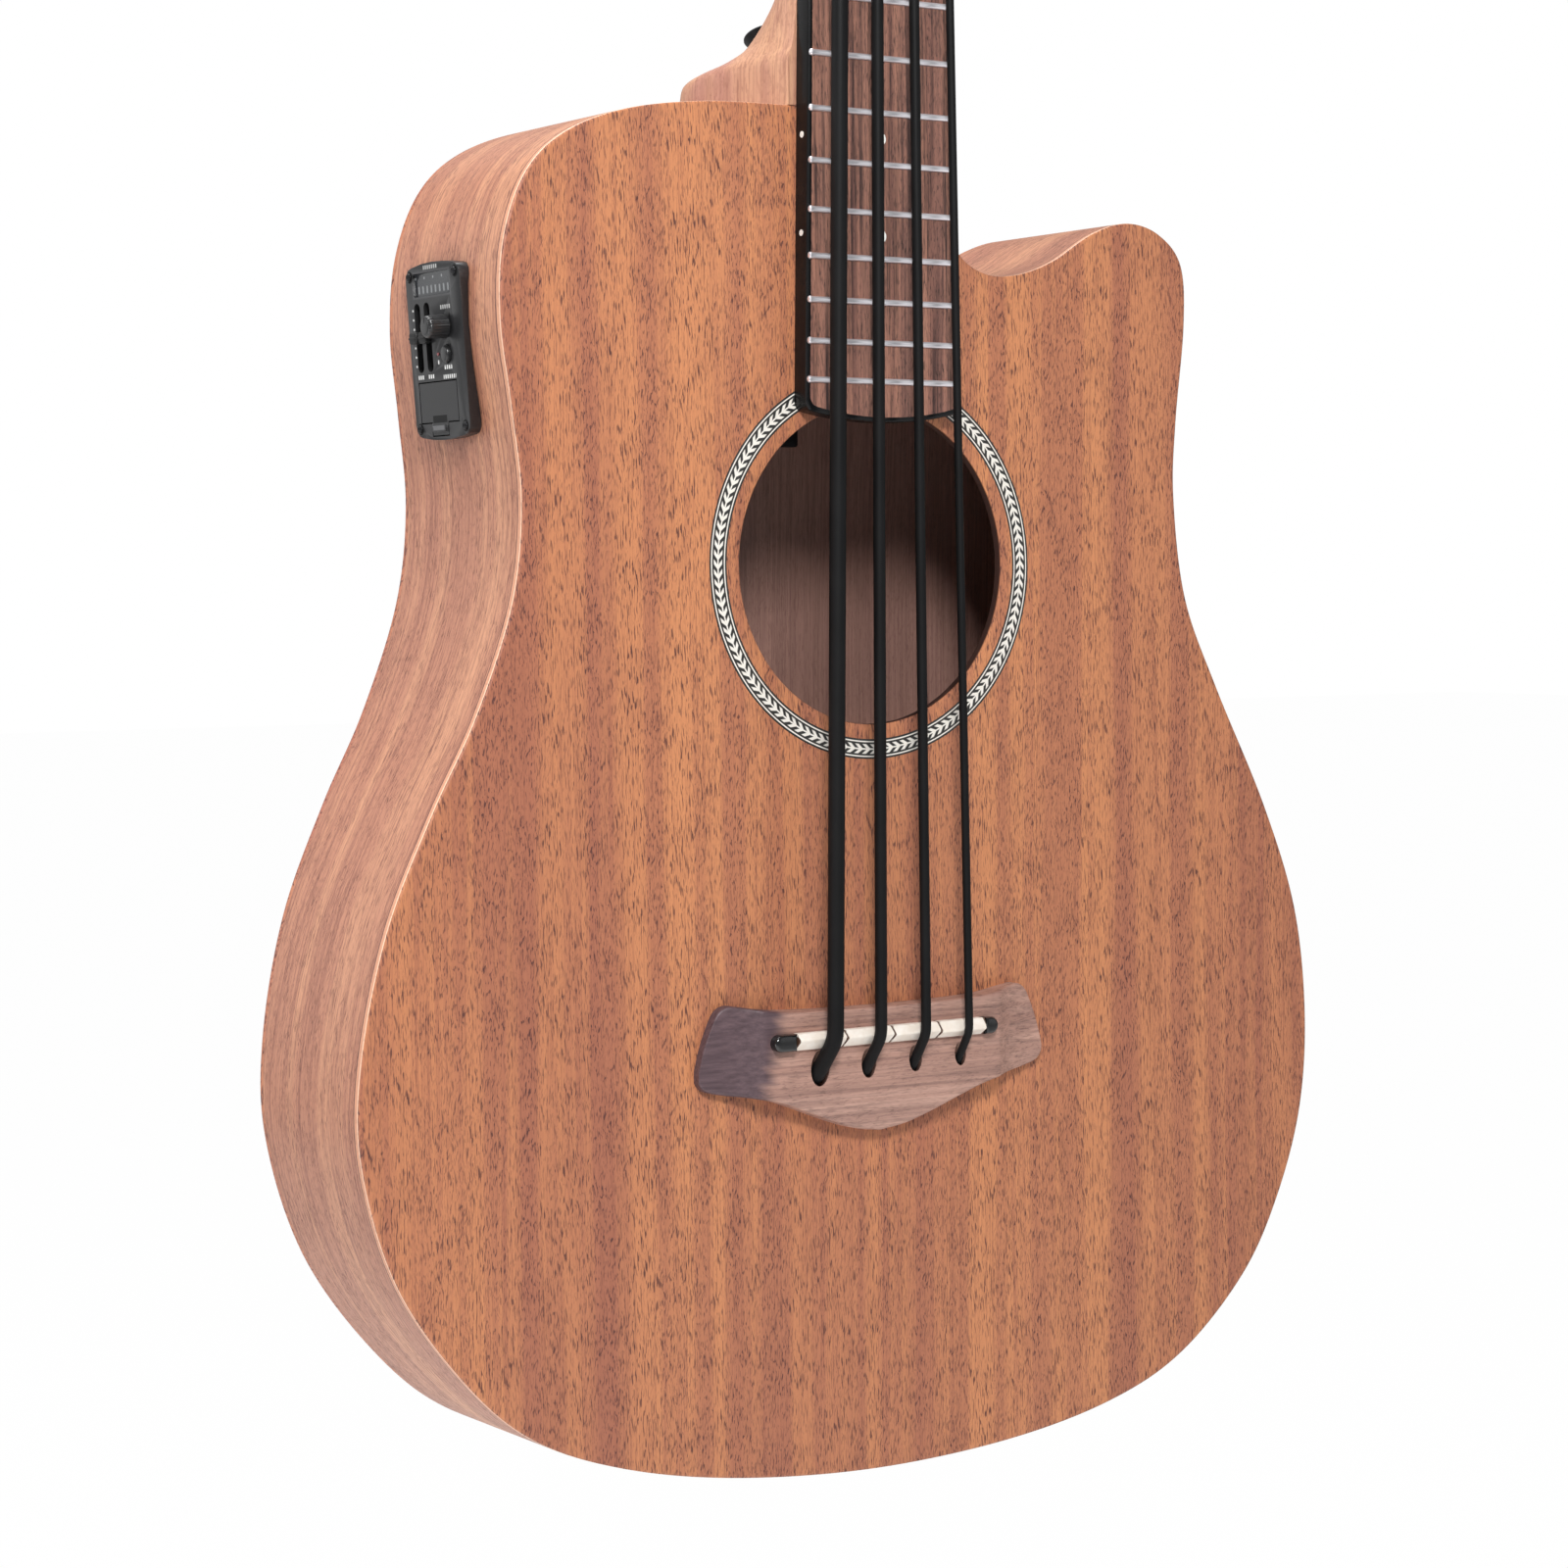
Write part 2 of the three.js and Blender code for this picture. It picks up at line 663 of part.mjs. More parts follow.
// A bar along the inside of the soundboard, highest in the middle and scalloped to its ends.
function topBar([x0, z0], [x1, z1], width) {
  const along = new THREE.Vector2(x1 - x0, z1 - z0);
  const across = new THREE.Vector2(-along.y, along.x).normalize().multiplyScalar(width / 2);
  const rings = braceRiseShares.map(([share, rise]) => {
    const x = x0 + along.x * share;
    const z = z0 + along.y * share;
    const crown = topThickness + braceEndHeight + (braceHeight - braceEndHeight) * rise;
    const shoulder = topThickness + (crown - topThickness) * braceShoulderShare;
    return [
      new THREE.Vector3(x - across.x, topThickness, z - across.y),
      new THREE.Vector3(x + across.x, topThickness, z + across.y),
      new THREE.Vector3(x + across.x, shoulder, z + across.y),
      new THREE.Vector3(x, crown, z),
      new THREE.Vector3(x - across.x, shoulder, z - across.y),
    ];
  });
  return loft(rings);
}
addPiece('x_brace', join(
  topBar([-crossUp, crossHeight + crossUp], [crossDown, crossHeight - crossDown], braceWidth),
  topBar([crossUp, crossHeight + crossUp], [-crossDown, crossHeight - crossDown], braceWidth),
), 'innerWood');
addPiece('upper_brace', topBar(
  [-upperBraceReach, upperBraceHeight], [upperBraceReach, upperBraceHeight], upperBraceWidth,
), 'innerWood');

// The bridge plate fills the corner under the cross of the braces
function bridgePlate() {
  const slack = (braceWidth / 2) * Math.SQRT2 + seam * 2;
  const edge = (z) => crossHeight - z - slack;
  const corner = crossHeight - slack - bridgePlateReach;
  const half = [[edge(bridgePlateTop), bridgePlateTop], [bridgePlateReach, corner],
    [bridgePlateReach, bridgePlateBottom]];
  const mirrored = half.map(([x, z]) => [-x, z]).reverse();
  const holes = strings.map((s) => circle(s.diameter / 2 + holeSlack, s.holeX, stringHoleHeight));
  return prism([...half, ...mirrored], topThickness, topThickness + bridgePlateThickness, holes);
}
addPiece('bridge_plate', bridgePlate(), 'innerWood');

// Bars across the inside of the back, following its arch
Object.entries(backBars).forEach(([name, { belowJoint, reach }]) => {
  const height = jointHeight - belowJoint;
  const rings = braceRiseShares.map(([share, rise]) => {
    const x = reach * (2 * share - 1);
    const crown = backBraceHeight * (backBraceEndShare + (1 - backBraceEndShare) * rise);
    const low = height - backBraceWidth / 2;
    const high = height + backBraceWidth / 2;
    return [
      new THREE.Vector3(x, sideBack(x, low), low), new THREE.Vector3(x, sideBack(x, high), high),
      new THREE.Vector3(x, sideBack(x, high) - crown * braceShoulderShare, high),
      new THREE.Vector3(x, sideBack(x, height) - crown, height),
      new THREE.Vector3(x, sideBack(x, low) - crown * braceShoulderShare, low),
    ];
  });
  addPiece(name, loft(rings), 'innerWood');
});

// Fretboard: a tapered board with a rounded end over the soundhole
function boardHalf(z) {
  return nutHalfWidth + (scaleLength - z) * boardTaper;
}

function boardOutline(distance, topGap = 0) {
  const half = boardHalf(boardEndHeight) - distance;
  const end = boardEndShares.map(([share, rise]) => [
    half * share, boardEndHeight + distance + boardEndArc * share ** 2 + boardCorner * rise,
  ]);
  const top = scaleLength - topGap;
  return [[-(boardHalf(top) - distance), top], ...end, [boardHalf(top) - distance, top]];
}

function fretboard() {
  const board = prism(boardOutline(boardBindingWidth + seam), -boardThickness, 0);
  const boardStart = boardEndHeight + boardBindingWidth + boardEndArc + boardCorner;
  const heights = Array.from({ length: fretCount }, (_, i) => scaleLength * 2 ** (-(i + 1) / 12));
  const frets = heights.filter((z) => z - fretWidth > boardStart).map((z) => {
    const reach = boardHalf(z) - boardBindingWidth - seam;
    const section = fretShares.map(([across, rise]) => [
      z + (fretWidth / 2) * across, -boardThickness + fretTang - (fretTang + fretCrown) * rise,
    ]);
    return slab(section, -reach, reach).rotateY(-Math.PI / 2);
  });
  return join(board, ...frets);
}
addPiece('fretboard', fretboard(), 'rosewood');
addPiece('fretboard_binding', prism(
  [...boardOutline(0), ...boardOutline(boardBindingWidth).reverse()], -boardThickness, 0,
), 'black');

// Neck, heel and headstock are one piece of wood
function neckSection(z, half, depth, squareness, top = 0) {
  const ring = Array.from({ length: neckSteps + 1 }, (_, i) => {
    const angle = (i / neckSteps) * Math.PI;
    const bulge = (value) => Math.sign(value) * Math.abs(value) ** (2 / squareness);
    return new THREE.Vector3(half * bulge(Math.cos(angle)), top + depth * Math.abs(bulge(Math.sin(angle))), z);
  });
  return ring;
}

const headOrigin = new THREE.Vector3(0, 0, scaleLength + nutThickness);
const headPlace = new THREE.Matrix4().makeRotationX(Math.PI / 2 - headTilt).setPosition(headOrigin);

function headOutline(distance, start) {
  const right = headShares.map(([x, along]) => [x * headHalfWidth, along * headLength]);
  const left = right.slice(0, -1).map(([x, along]) => [-x, along]).reverse();
  const whole = inset([...right, ...left], distance);
  return whole.map(([x, along]) => [x, Math.max(along, start)]);
}

const tuners = strings.map(({ name }, i) => {
  const side = i < 2 ? -1 : 1;
  const upper = i === 1 || i === 2;
  return { name, side, x: side * (upper ? tunerUpperX : tunerLowerX), along: upper ? tunerUpper : tunerLower };
});
const sleeveRadius = postRadius + seam + sleeveWall;
const rodStart = jointHeight + rodHeelGap;
const rodEnd = scaleLength - rodNutGap;

function neck() {
  const heel = heelShares.map(([share, wide, deep, squareness]) => {
    const z = jointHeight + share * heelFlareHeight;
    const half = boardHalf(z) + wide * (heelHalfWidth - boardHalf(jointHeight));
    return neckSection(z, half, neckDepth + deep * (heelDepth - neckDepth), squareness);
  });
  const nutEnd = neckSection(headOrigin.z, nutHalfWidth, neckDepth, 2);
  const neckRoot = voluteShares.map(([reach, narrow, deep]) => {
    const z = headOrigin.z + reach * headThickness;
    const front = (z - headOrigin.z) * Math.tan(headTilt) + seam;
    return neckSection(z, nutHalfWidth * narrow, neckDepth * deep - front, 2, front);
  });
  const shaft = loft([...heel, nutEnd, ...neckRoot]);
  const channel = prism([
    [-rodWidth / 2 - seam, rodStart - seam], [rodWidth / 2 + seam, rodStart - seam],
    [rodWidth / 2 + seam, rodEnd + seam], [-rodWidth / 2 - seam, rodEnd + seam],
  ], -overrun, rodDepth + seam);
  const head = slab(headOutline(0, 0), -headThickness, 0).applyMatrix4(headPlace);
  const sleeves = tuners.map(({ x, along }) => slab(
    circle(sleeveRadius + seam, x, along), -headThickness - overrun, overrun,
  ).applyMatrix4(headPlace));
  return cut(join(shaft, head), channel, strapPocketTool(), ...sleeves);
}

// Strap button, turned about its own axis on the back of the heel
const strapTurn = new THREE.Quaternion().setFromUnitVectors(new THREE.Vector3(0, 0, 1), strapDirection);
const strapPlace = new THREE.Matrix4().compose(strapBase, strapTurn, new THREE.Vector3(1, 1, 1));

function strapPocketTool() {
  return turned([
    [0, 0], [strapBaseRadius + seam, 0], [strapBaseRadius + seam, strapHeight], [0, strapHeight],
  ]).applyMatrix4(strapPlace);
}
addPiece('neck', neck(), 'neckWood');
addPiece('heel_strap_button', turned([
  [0, seam], [strapBaseRadius, seam], [strapBaseRadius, strapPocket], [strapWaistRadius, strapPocket * 2],
  [strapWaistRadius, strapHeight / 2], [strapRimRadius, strapHeight - strapRim],
  [strapRimRadius, strapHeight], [0, strapHeight],
]).applyMatrix4(strapPlace), 'black');
addPiece('truss_rod', prism([
  [-rodWidth / 2, rodStart], [rodWidth / 2, rodStart], [rodWidth / 2, rodEnd], [-rodWidth / 2, rodEnd],
], seam, rodDepth), 'steel');
addPiece('headstock_plate', slab(
  headOutline(seam, seam), 0, headPlateThickness,
  tuners.map(({ x, along }) => circle(sleeveRadius + seam, x, along)),
).translate(0, 0, seam).applyMatrix4(headPlace), 'rosewood');

// Nut, with one slot for each string
const nutX = (i) => nutSpread * (i / (strings.length - 1) - 0.5);
const nutPoint = (i) => new THREE.Vector3(nutX(i), -nutStringRise, scaleLength + nutThickness / 2);
function nut() {
  const blank = prism([
    [-nutHalfWidth, scaleLength], [nutHalfWidth, scaleLength],
    [nutHalfWidth, headOrigin.z], [-nutHalfWidth, headOrigin.z],
  ], -nutRise, 0);
  const slots = strings.map((s, i) => {
    const radius = s.diameter / 2 + seam;
    const slot = [
      ...circle(radius, nutX(i), -nutStringRise).filter(([, y]) => y > -nutStringRise),
    ];
    const [first, last] = [slot[0], slot[slot.length - 1]];
    slot.push([last[0], -nutRise - overrun], [first[0], -nutRise - overrun]);
    return slab(slot, scaleLength - overrun, headOrigin.z + overrun);
  });
  const exits = strings.map((s, i) => {
    const from = nutPoint(i);
    const way = windingPoints(s, i)[0].sub(from).setLength(nutThickness * 2).add(from);
    return bar(from, way, s.diameter / 2 + seam * 2);
  });
  return cut(blank, ...slots, ...exits);
}

// Bridge: a flat middle, scooped wings and a tip that thins towards the tail
const bridgeHeightSpan = bridgeTopHeight - bridgeTipHeight;
const saddleFloor = -bridgeThickness + saddleSeat;
const slotFloor = saddleFloor + pickupThickness;
const saddleEnds = [saddleShift - saddleHalfLength, saddleShift + saddleHalfLength];

// A bar with round ends, along x.
function stadium(x0, x1, width, z) {
  const radius = width / 2;
  const end = (cx, from) => Array.from({ length: 7 }, (_, i) => {
    const angle = from + (i / 6) * Math.PI;
    return [cx + radius * Math.cos(angle), z + radius * Math.sin(angle)];
  });
  return [...end(x1 - radius, -Math.PI / 2), ...end(x0 + radius, Math.PI / 2)];
}

function bridge() {
  const right = bridgeShares.map(([x, z]) => [x * bridgeHalfWidth, bridgeTipHeight + z * bridgeHeightSpan]);
  const left = right.slice(1, -1).map(([x, z]) => [-x, z]).reverse();
  const body = prism([...right, ...left], -bridgeThickness, 0);
  const wing = (side) => {
    const curve = scoopShares.map(([along, fall]) => [
      side * (bridgeFlatHalfWidth + along * (bridgeHalfWidth - bridgeFlatHalfWidth)),
      -bridgeThickness + fall * (bridgeThickness - bridgeWingThickness),
    ]);
    const outside = side * (bridgeHalfWidth + overrun);
    return slab([
      ...curve, [outside, -bridgeWingThickness], [outside, -bridgeThickness - overrun],
      [side * bridgeFlatHalfWidth, -bridgeThickness - overrun],
    ], bridgeTipHeight - overrun, bridgeTopHeight + overrun);
  };
  const tip = slab([
    [bridgeTipFlat, -bridgeThickness], [bridgeTipHeight - overrun, -bridgeTipThickness],
    [bridgeTipHeight - overrun, -bridgeThickness - overrun], [bridgeTipFlat, -bridgeThickness - overrun],
  ], -bridgeHalfWidth - overrun, bridgeHalfWidth + overrun).rotateY(-Math.PI / 2);
  const slot = prism(stadium(
    saddleEnds[0] - bassCapLength - seam, saddleEnds[1] + trebleCapLength + seam, saddleWidth + 2 * seam, saddleHeight,
  ), -bridgeThickness - overrun, slotFloor);
  const holes = strings.flatMap((s) => {
    const path = stringCorners(s);
    return [
      rod(s.diameter / 2 + holeSlack, s.holeX, stringHoleHeight, -bridgeThickness * holeMouthShare, overrun),
      bar(path[1], path[2], s.diameter / 2 + holeSlack),
    ];
  });
  const blank = cut(body, wing(-1), wing(1), tip).translate(bridgeShift, 0, 0);
  return cut(blank, slot, ...holes);
}

// A round bar between two points.
function bar(from, to, radius) {
  const direction = to.clone().sub(from);
  const turn = new THREE.Quaternion().setFromUnitVectors(new THREE.Vector3(0, 0, 1), direction.clone().normalize());
  return slab(circle(radius), 0, direction.length()).applyQuaternion(turn).translate(from.x, from.y, from.z);
}

// Strings: each is one route from its bead under the bridge to the last turn round its post
function stringCorners(s) {
  const radius = s.diameter / 2;
  const bead = topThickness + bridgePlateThickness + radius + beadMargin + seam;
  return [
    new THREE.Vector3(s.holeX, bead, stringHoleHeight),
    new THREE.Vector3(s.holeX, -bridgeThickness * holeTurnShare, stringHoleHeight),
    new THREE.Vector3(s.saddleX, -saddleStringRise - radius * (1 + bendLiftShare), saddleHeight + s.comp),
  ];
}

function rounded(corners, reach, steps = 4) {
  return corners.flatMap((corner, i) => {
    if (i === 0 || i === corners.length - 1) return [corner];
    const before = corners[i - 1].clone().sub(corner).setLength(reach).add(corner);
    const after = corners[i + 1].clone().sub(corner).setLength(reach).add(corner);
    return new THREE.QuadraticBezierCurve3(before, corner, after).getPoints(steps);
  });
}

// A curve straight through chosen points, with one step of the tube for each of them.
class Route extends THREE.Curve {
  constructor(points) {
    super();
    this.points = points;
  }

  getPoint(t, target = new THREE.Vector3()) {
    const last = this.points.length - 1;
    const i = Math.min(last - 1, Math.floor(t * last + 1e-9));
    return target.lerpVectors(this.points[i], this.points[i + 1], t * last - i);
  }

  getUtoTmapping(u) {
    return u;
  }
}

function windingPoints(s, i) {
  const { x, along } = tuners[i];
  const radius = s.diameter / 2;
  const reach = postRadius + seam + radius;
  const low = headPlateThickness + 2 * seam + radius;
  const pitch = s.diameter + windingGap;
  const start = new THREE.Vector3(nutX(i), nutReleaseShare * nutThickness, 0);
  const side = Math.sign(x);
  const dx = (start.x - x) * -side;
  const dy = start.y - along;
  const first = Math.atan2(dy, dx) + Math.acos(reach / Math.hypot(dx, dy));
  const count = Math.round(s.turns * turnSteps);
  return Array.from({ length: count + 1 }, (_, k) => {
    const angle = first + (k / turnSteps) * Math.PI * 2;
    const height = low + pitch * (s.turns - k / turnSteps);
    return new THREE.Vector3(
      x - side * reach * Math.cos(angle), along + reach * Math.sin(angle), height,
    ).applyMatrix4(headPlace);
  });
}

// Least free gap of a tube to itself, measured between points that lie more than half a turn apart.
function selfGap(points, diameter) {
  const dense = points.slice(1).flatMap((p, i) => (
    [0.25, 0.5, 0.75, 1].map((share) => points[i].clone().lerp(p, share))
  ));
  const apart = (dense.length > turnSteps * 2) ? turnSteps * 2 : dense.length;
  let least = Infinity;
  dense.forEach((p, i) => dense.slice(i + apart).forEach((q) => {
    least = Math.min(least, p.distanceTo(q) - diameter);
  }));
  return least;
}

strings.forEach((s, i) => {
  const radius = s.diameter / 2;
  const wound = windingPoints(s, i);
  const corners = [...stringCorners(s), nutPoint(i), wound[0]];
  const points = [...rounded(corners, radius * bendReachShare), ...wound.slice(1)];
  const tube = new THREE.ExtrudeGeometry(
    new THREE.Shape(circle(radius, 0, 0, stringSides).map(([x, y]) => new THREE.Vector2(x, y))),
    { steps: points.length - 1, bevelEnabled: false, extrudePath: new Route(points) },
  );
  const bead = new THREE.SphereGeometry(radius + beadMargin, stringSides, stringSides - 2);
  bead.translate(points[0].x, points[0].y, points[0].z);
  addPiece(`string_${s.name}`, join(tube, bead), 'rubber');
  console.log(`string_${s.name}: least gap between its turns ${selfGap(wound, s.diameter).toFixed(2)} mm`);
});

addPiece('nut', nut(), 'cream');
addPiece('bridge', bridge(), 'rosewood');

// Saddle: four segments with their crests set back by each string's compensation, and two end caps
const segmentLength = (2 * saddleHalfLength) / strings.length;
strings.forEach((s, i) => {
  const from = saddleEnds[0] + i * segmentLength + seam / 2;
  const to = saddleEnds[0] + (i + 1) * segmentLength - seam / 2;
  const half = saddleWidth / 2;
  const section = [
    [saddleHeight - half, saddleFloor], [saddleHeight - half, -bridgeThickness - saddleBackShoulder],
    [saddleHeight + s.comp, -bridgeThickness - saddleRise],
    [saddleHeight + half, -bridgeThickness - saddleShoulder], [saddleHeight + half, saddleFloor],
  ];
  addPiece(`saddle_${s.name}`, slab(section, -to, -from).rotateY(-Math.PI / 2), 'cream');
});

function saddleCap(side) {
  const radius = saddleWidth / 2;
  const inner = saddleEnds[side < 0 ? 0 : 1] + side * seam / 2;
  const length = side < 0 ? bassCapLength : trebleCapLength;
  const outer = inner + side * (length - seam);
  const arc = Array.from({ length: 7 }, (_, i) => {
    const angle = -Math.PI / 2 + (i / 6) * Math.PI;
    return [outer - side * radius + side * radius * Math.cos(angle), saddleHeight + radius * Math.sin(angle)];
  });
  return prism(
    [[inner, saddleHeight - radius], ...arc, [inner, saddleHeight + radius]],
    -bridgeThickness - capRise, saddleFloor,
  );
}
addPiece('saddle_cap_bass', saddleCap(-1), 'black');
addPiece('saddle_cap_treble', saddleCap(1), 'black');
addPiece('pickup_strip', prism([
  [saddleEnds[0], saddleHeight - pickupWidth / 2], [saddleEnds[1], saddleHeight - pickupWidth / 2],
  [saddleEnds[1], saddleHeight + pickupWidth / 2], [saddleEnds[0], saddleHeight + pickupWidth / 2],
], saddleFloor, slotFloor), 'steel');

// Tuning machines, in the headstock's own frame: across, along and out of its face
const headGroup = new THREE.Group();
headGroup.position.copy(headOrigin);
headGroup.rotation.x = Math.PI / 2 - headTilt;
model.add(headGroup);
const housingTop = -headThickness - seam;
const wormDepth = housingTop - plateThickness - housingDepth / 2;

tuners.forEach(({ name, side, x, along }) => {
  const wormAlong = along - wormOffset;
  const plate = slab(roundedBox(housingWidth, plateLength, plateCorner, x, along), housingTop - plateThickness, housingTop);
  const box = slab(
    roundedBox(housingWidth, housingLength, plateCorner, x, along - wormOffset / 2),
    housingTop - plateThickness - housingDepth, housingTop - plateThickness / 2,
  );
  const sleeve = slab(circle(sleeveRadius, x, along), housingTop - plateThickness / 2, headPlateThickness + 2 * seam);
  const postBore = slab(
    circle(postRadius + seam, x, along), housingTop - plateThickness - postEmbed - seam, headThickness,
  );
  const shaftSocket = bar(
    new THREE.Vector3(x + side * (housingWidth / 2 - keyEmbed), wormAlong, wormDepth),
    new THREE.Vector3(x + side * (housingWidth / 2 + overrun), wormAlong, wormDepth), keyShaftRadius + seam,
  );
  addPiece(`tuner_housing_${name}`, cut(join(plate, box, sleeve), postBore, shaftSocket), 'black', headGroup);

  const postTop = headPlateThickness + postHeight;
  addPiece(`tuner_post_${name}`, turned([
    [0, housingTop - plateThickness - postEmbed], [postRadius, housingTop - plateThickness - postEmbed],
    [postRadius, postTop - postCapThickness * 1.5], [postCapRadius, postTop - postCapThickness],
    [postCapRadius, postTop - postCapThickness / 2], [postRadius, postTop], [0, postTop],
  ]).translate(x, along, 0), 'steel', headGroup);

  const shaftStart = x + side * (housingWidth / 2 - keyEmbed + seam);
  const buttonStart = side * (headHalfWidth + keyBodyGap);
  const shaft = bar(
    new THREE.Vector3(shaftStart, wormAlong, wormDepth),
    new THREE.Vector3(buttonStart + side * keyCollarRadius, wormAlong, wormDepth), keyShaftRadius,
  );
  const button = turned(keyShares.map(([wide, reach]) => [wide * keyHalfWidth, reach * keyLength]), keySides)
    .scale(1, keyHalfThickness / keyHalfWidth, 1)
    .rotateZ(Math.PI / 2).rotateY(side * Math.PI / 2).translate(buttonStart, wormAlong, wormDepth);
  addPiece(`tuner_key_${name}`, join(shaft, button), 'black', headGroup);
});

// Preamp, in its own frame: right, up and out of its panel
const preampGroup = new THREE.Group();
preampGroup.applyMatrix4(preampPlace);
model.add(preampGroup);
const bodyEnvelope = (margin) => (
  prism(inset(outline, -margin), -overrun, backDepth + overrun).applyMatrix4(preampPlace.clone().invert())
);
const doorOutline = (margin) => {
  const half = doorWidth / 2 + margin;
  const [low, high] = [doorY - doorLength / 2 - margin, doorY + doorLength / 2 + margin];
  const tab = latchWidth / 2 + margin;
  return [
    [doorX - half, high], [doorX - half, low], [doorX - tab, low], [doorX - tab, low - latchLength],
    [doorX + tab, low - latchLength], [doorX + tab, low], [doorX + half, low], [doorX + half, high],
  ];
};

// The panel's outline: rounded corners, and two ends that bow outwards.
function panelOutline() {
  const corners = roundedBox(panelWidth, panelLength - 2 * panelArch, panelCorner);
  const run = corners.length / 4;
  const end = (side) => [0.5, 0, -0.5].map((share) => [
    side * share * (panelWidth - 2 * panelCorner) / 2,
    side * (panelLength / 2 - panelArch * share ** 2),
  ]);
  return [...corners.slice(0, run), ...end(1), ...corners.slice(run, 3 * run), ...end(-1), ...corners.slice(3 * run)];
}

function panel() {
  const face = slab(panelOutline(), -panelSkirt, panelRise, [
    ...Object.values(slotXs).map((x) => roundedBox(slotWidth, slotLength, slotWidth / 2 - seam, x, slotY)),
    circle(knobShaftRadius + seam, knobX, knobY), circle(buttonRadius + seam, buttonX, buttonY),
    doorOutline(seam),
  ]);
  const screen = slab(
    roundedBox(windowWidth, windowLength, seam * 2, windowX, windowY), panelRise - windowDepth, panelRise + overrun,
  );
  return cut(face, screen, bodyEnvelope(seam));
}
addPiece('preamp_panel', panel(), 'black', preampGroup);

function preampBox() {
  const outside = slab(roundedBox(boxWidth, boxLength, boxCorner), -boxDepth, overrun);
  const inside = slab(
    roundedBox(boxWidth - 2 * boxWall, boxLength - 2 * boxWall, boxCorner - boxWall), boxWall - boxDepth, overrun * 2,
  );
  return meet(cut(outside, inside), bodyEnvelope(0));
}
addPiece('preamp_box', preampBox(), 'black', preampGroup);

const knobOutline = Array.from({ length: knobFlutes * 2 }, (_, i) => {
  const angle = (i / (knobFlutes * 2)) * Math.PI * 2;
  const radius = knobRadius - (i % 2) * knobFluteDepth;
  return [radius * Math.cos(angle), radius * Math.sin(angle)];
});
addPiece('volume_knob', join(
  slab(knobOutline, panelRise + sliderLift, panelRise + knobHeight),
  slab(circle(knobShaftRadius), -panelSkirt, panelRise + knobHeight / 2),
).translate(knobX, knobY, 0), 'black', preampGroup);
addPiece('tuner_button', slab(circle(buttonRadius), -panelSkirt, panelRise + buttonProud + buttonTravel)
  .translate(buttonX, buttonY, 0), 'black', preampGroup);
Object.entries(slotXs).forEach(([name, x]) => {
  const stem = slab(
    roundedBox(sliderStemWidth, sliderStemLength, sliderStemWidth / 3, x, slotY), -panelSkirt, panelRise + sliderCapHeight,
  );
  const cap = slab(
    roundedBox(sliderCapWidth, sliderCapLength, sliderStemWidth / 2, x, slotY),
    panelRise + sliderLift, panelRise + sliderCapHeight,
  );
  addPiece(name, join(stem, cap), 'black', preampGroup);
});
const latchHeight = doorY - doorLength / 2 - latchLength / 2;
addPiece('battery_door', join(
  slab(doorOutline(0), panelRise - doorThickness, panelRise),
  slab(
    roundedBox(latchWidth - latchRise * 2, latchLength / 2, latchRise, doorX, latchHeight),
    panelRise - doorThickness / 2, panelRise + latchRise,
  ),
), 'black', preampGroup);
addPiece('coin_cells', slab(circle(cellRadius), 0, cellStack).rotateX(-Math.PI / 2)
  .translate(doorX, boxWall + seam - boxLength / 2, -cellSetback - cellRadius), 'steel', preampGroup);

// Output jack through the tail block: a barrel with a flange, held by a six-sided nut
const jackBody = turned([
  [0, -seam - jackFlangeThickness], [jackFlangeRadius, -seam - jackFlangeThickness],
  [jackFlangeRadius, -seam], [jackBarrelRadius, -seam],
  [jackBarrelRadius, jackBarrelLength - seam], [0, jackBarrelLength - seam],
]);
const jackNut = slab(circle(jackNutRadius, 0, 0, hexSides), -jackReach, -jackFlangeThickness);
const jackSocket = slab(circle(jackBore), -jackReach - overrun, jackBarrelLength - boreFloor);
addPiece('output_jack', cut(join(jackBody, jackNut), jackSocket)
  .translate(0, jackDepth, tailHeight), 'steel');

export default model;
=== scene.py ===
"""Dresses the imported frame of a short-scale acoustic bass guitar.

Shapes are worked out in millimetres in the maker's frame: x towards the treble side, y from the
face of the top into the body, z up from the saddle line. to_frame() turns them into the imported
frame's metres, whose origin is on the nut line. Names that end in SHARES hold shares of a size.
"""

import math

import bmesh
import bpy
import numpy as np
from mathutils import Matrix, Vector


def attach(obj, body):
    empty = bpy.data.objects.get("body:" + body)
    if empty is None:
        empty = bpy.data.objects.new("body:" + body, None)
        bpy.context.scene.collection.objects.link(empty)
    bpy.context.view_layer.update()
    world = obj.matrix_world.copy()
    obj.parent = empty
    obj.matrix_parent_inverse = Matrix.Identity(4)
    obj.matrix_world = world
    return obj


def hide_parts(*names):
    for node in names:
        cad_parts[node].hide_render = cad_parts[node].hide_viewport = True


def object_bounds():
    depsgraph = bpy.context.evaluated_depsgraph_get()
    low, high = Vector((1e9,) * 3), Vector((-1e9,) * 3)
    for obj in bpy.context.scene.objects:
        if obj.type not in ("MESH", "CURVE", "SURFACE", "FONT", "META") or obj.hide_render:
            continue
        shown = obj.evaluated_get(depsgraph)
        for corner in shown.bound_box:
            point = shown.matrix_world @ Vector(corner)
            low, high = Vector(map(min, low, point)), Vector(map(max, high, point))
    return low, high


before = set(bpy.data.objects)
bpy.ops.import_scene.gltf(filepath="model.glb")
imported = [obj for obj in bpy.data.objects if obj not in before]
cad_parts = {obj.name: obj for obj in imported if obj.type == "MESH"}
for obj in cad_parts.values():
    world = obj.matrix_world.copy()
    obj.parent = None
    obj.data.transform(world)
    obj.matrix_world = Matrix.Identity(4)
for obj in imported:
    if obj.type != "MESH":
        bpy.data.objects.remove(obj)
cad_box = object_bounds()

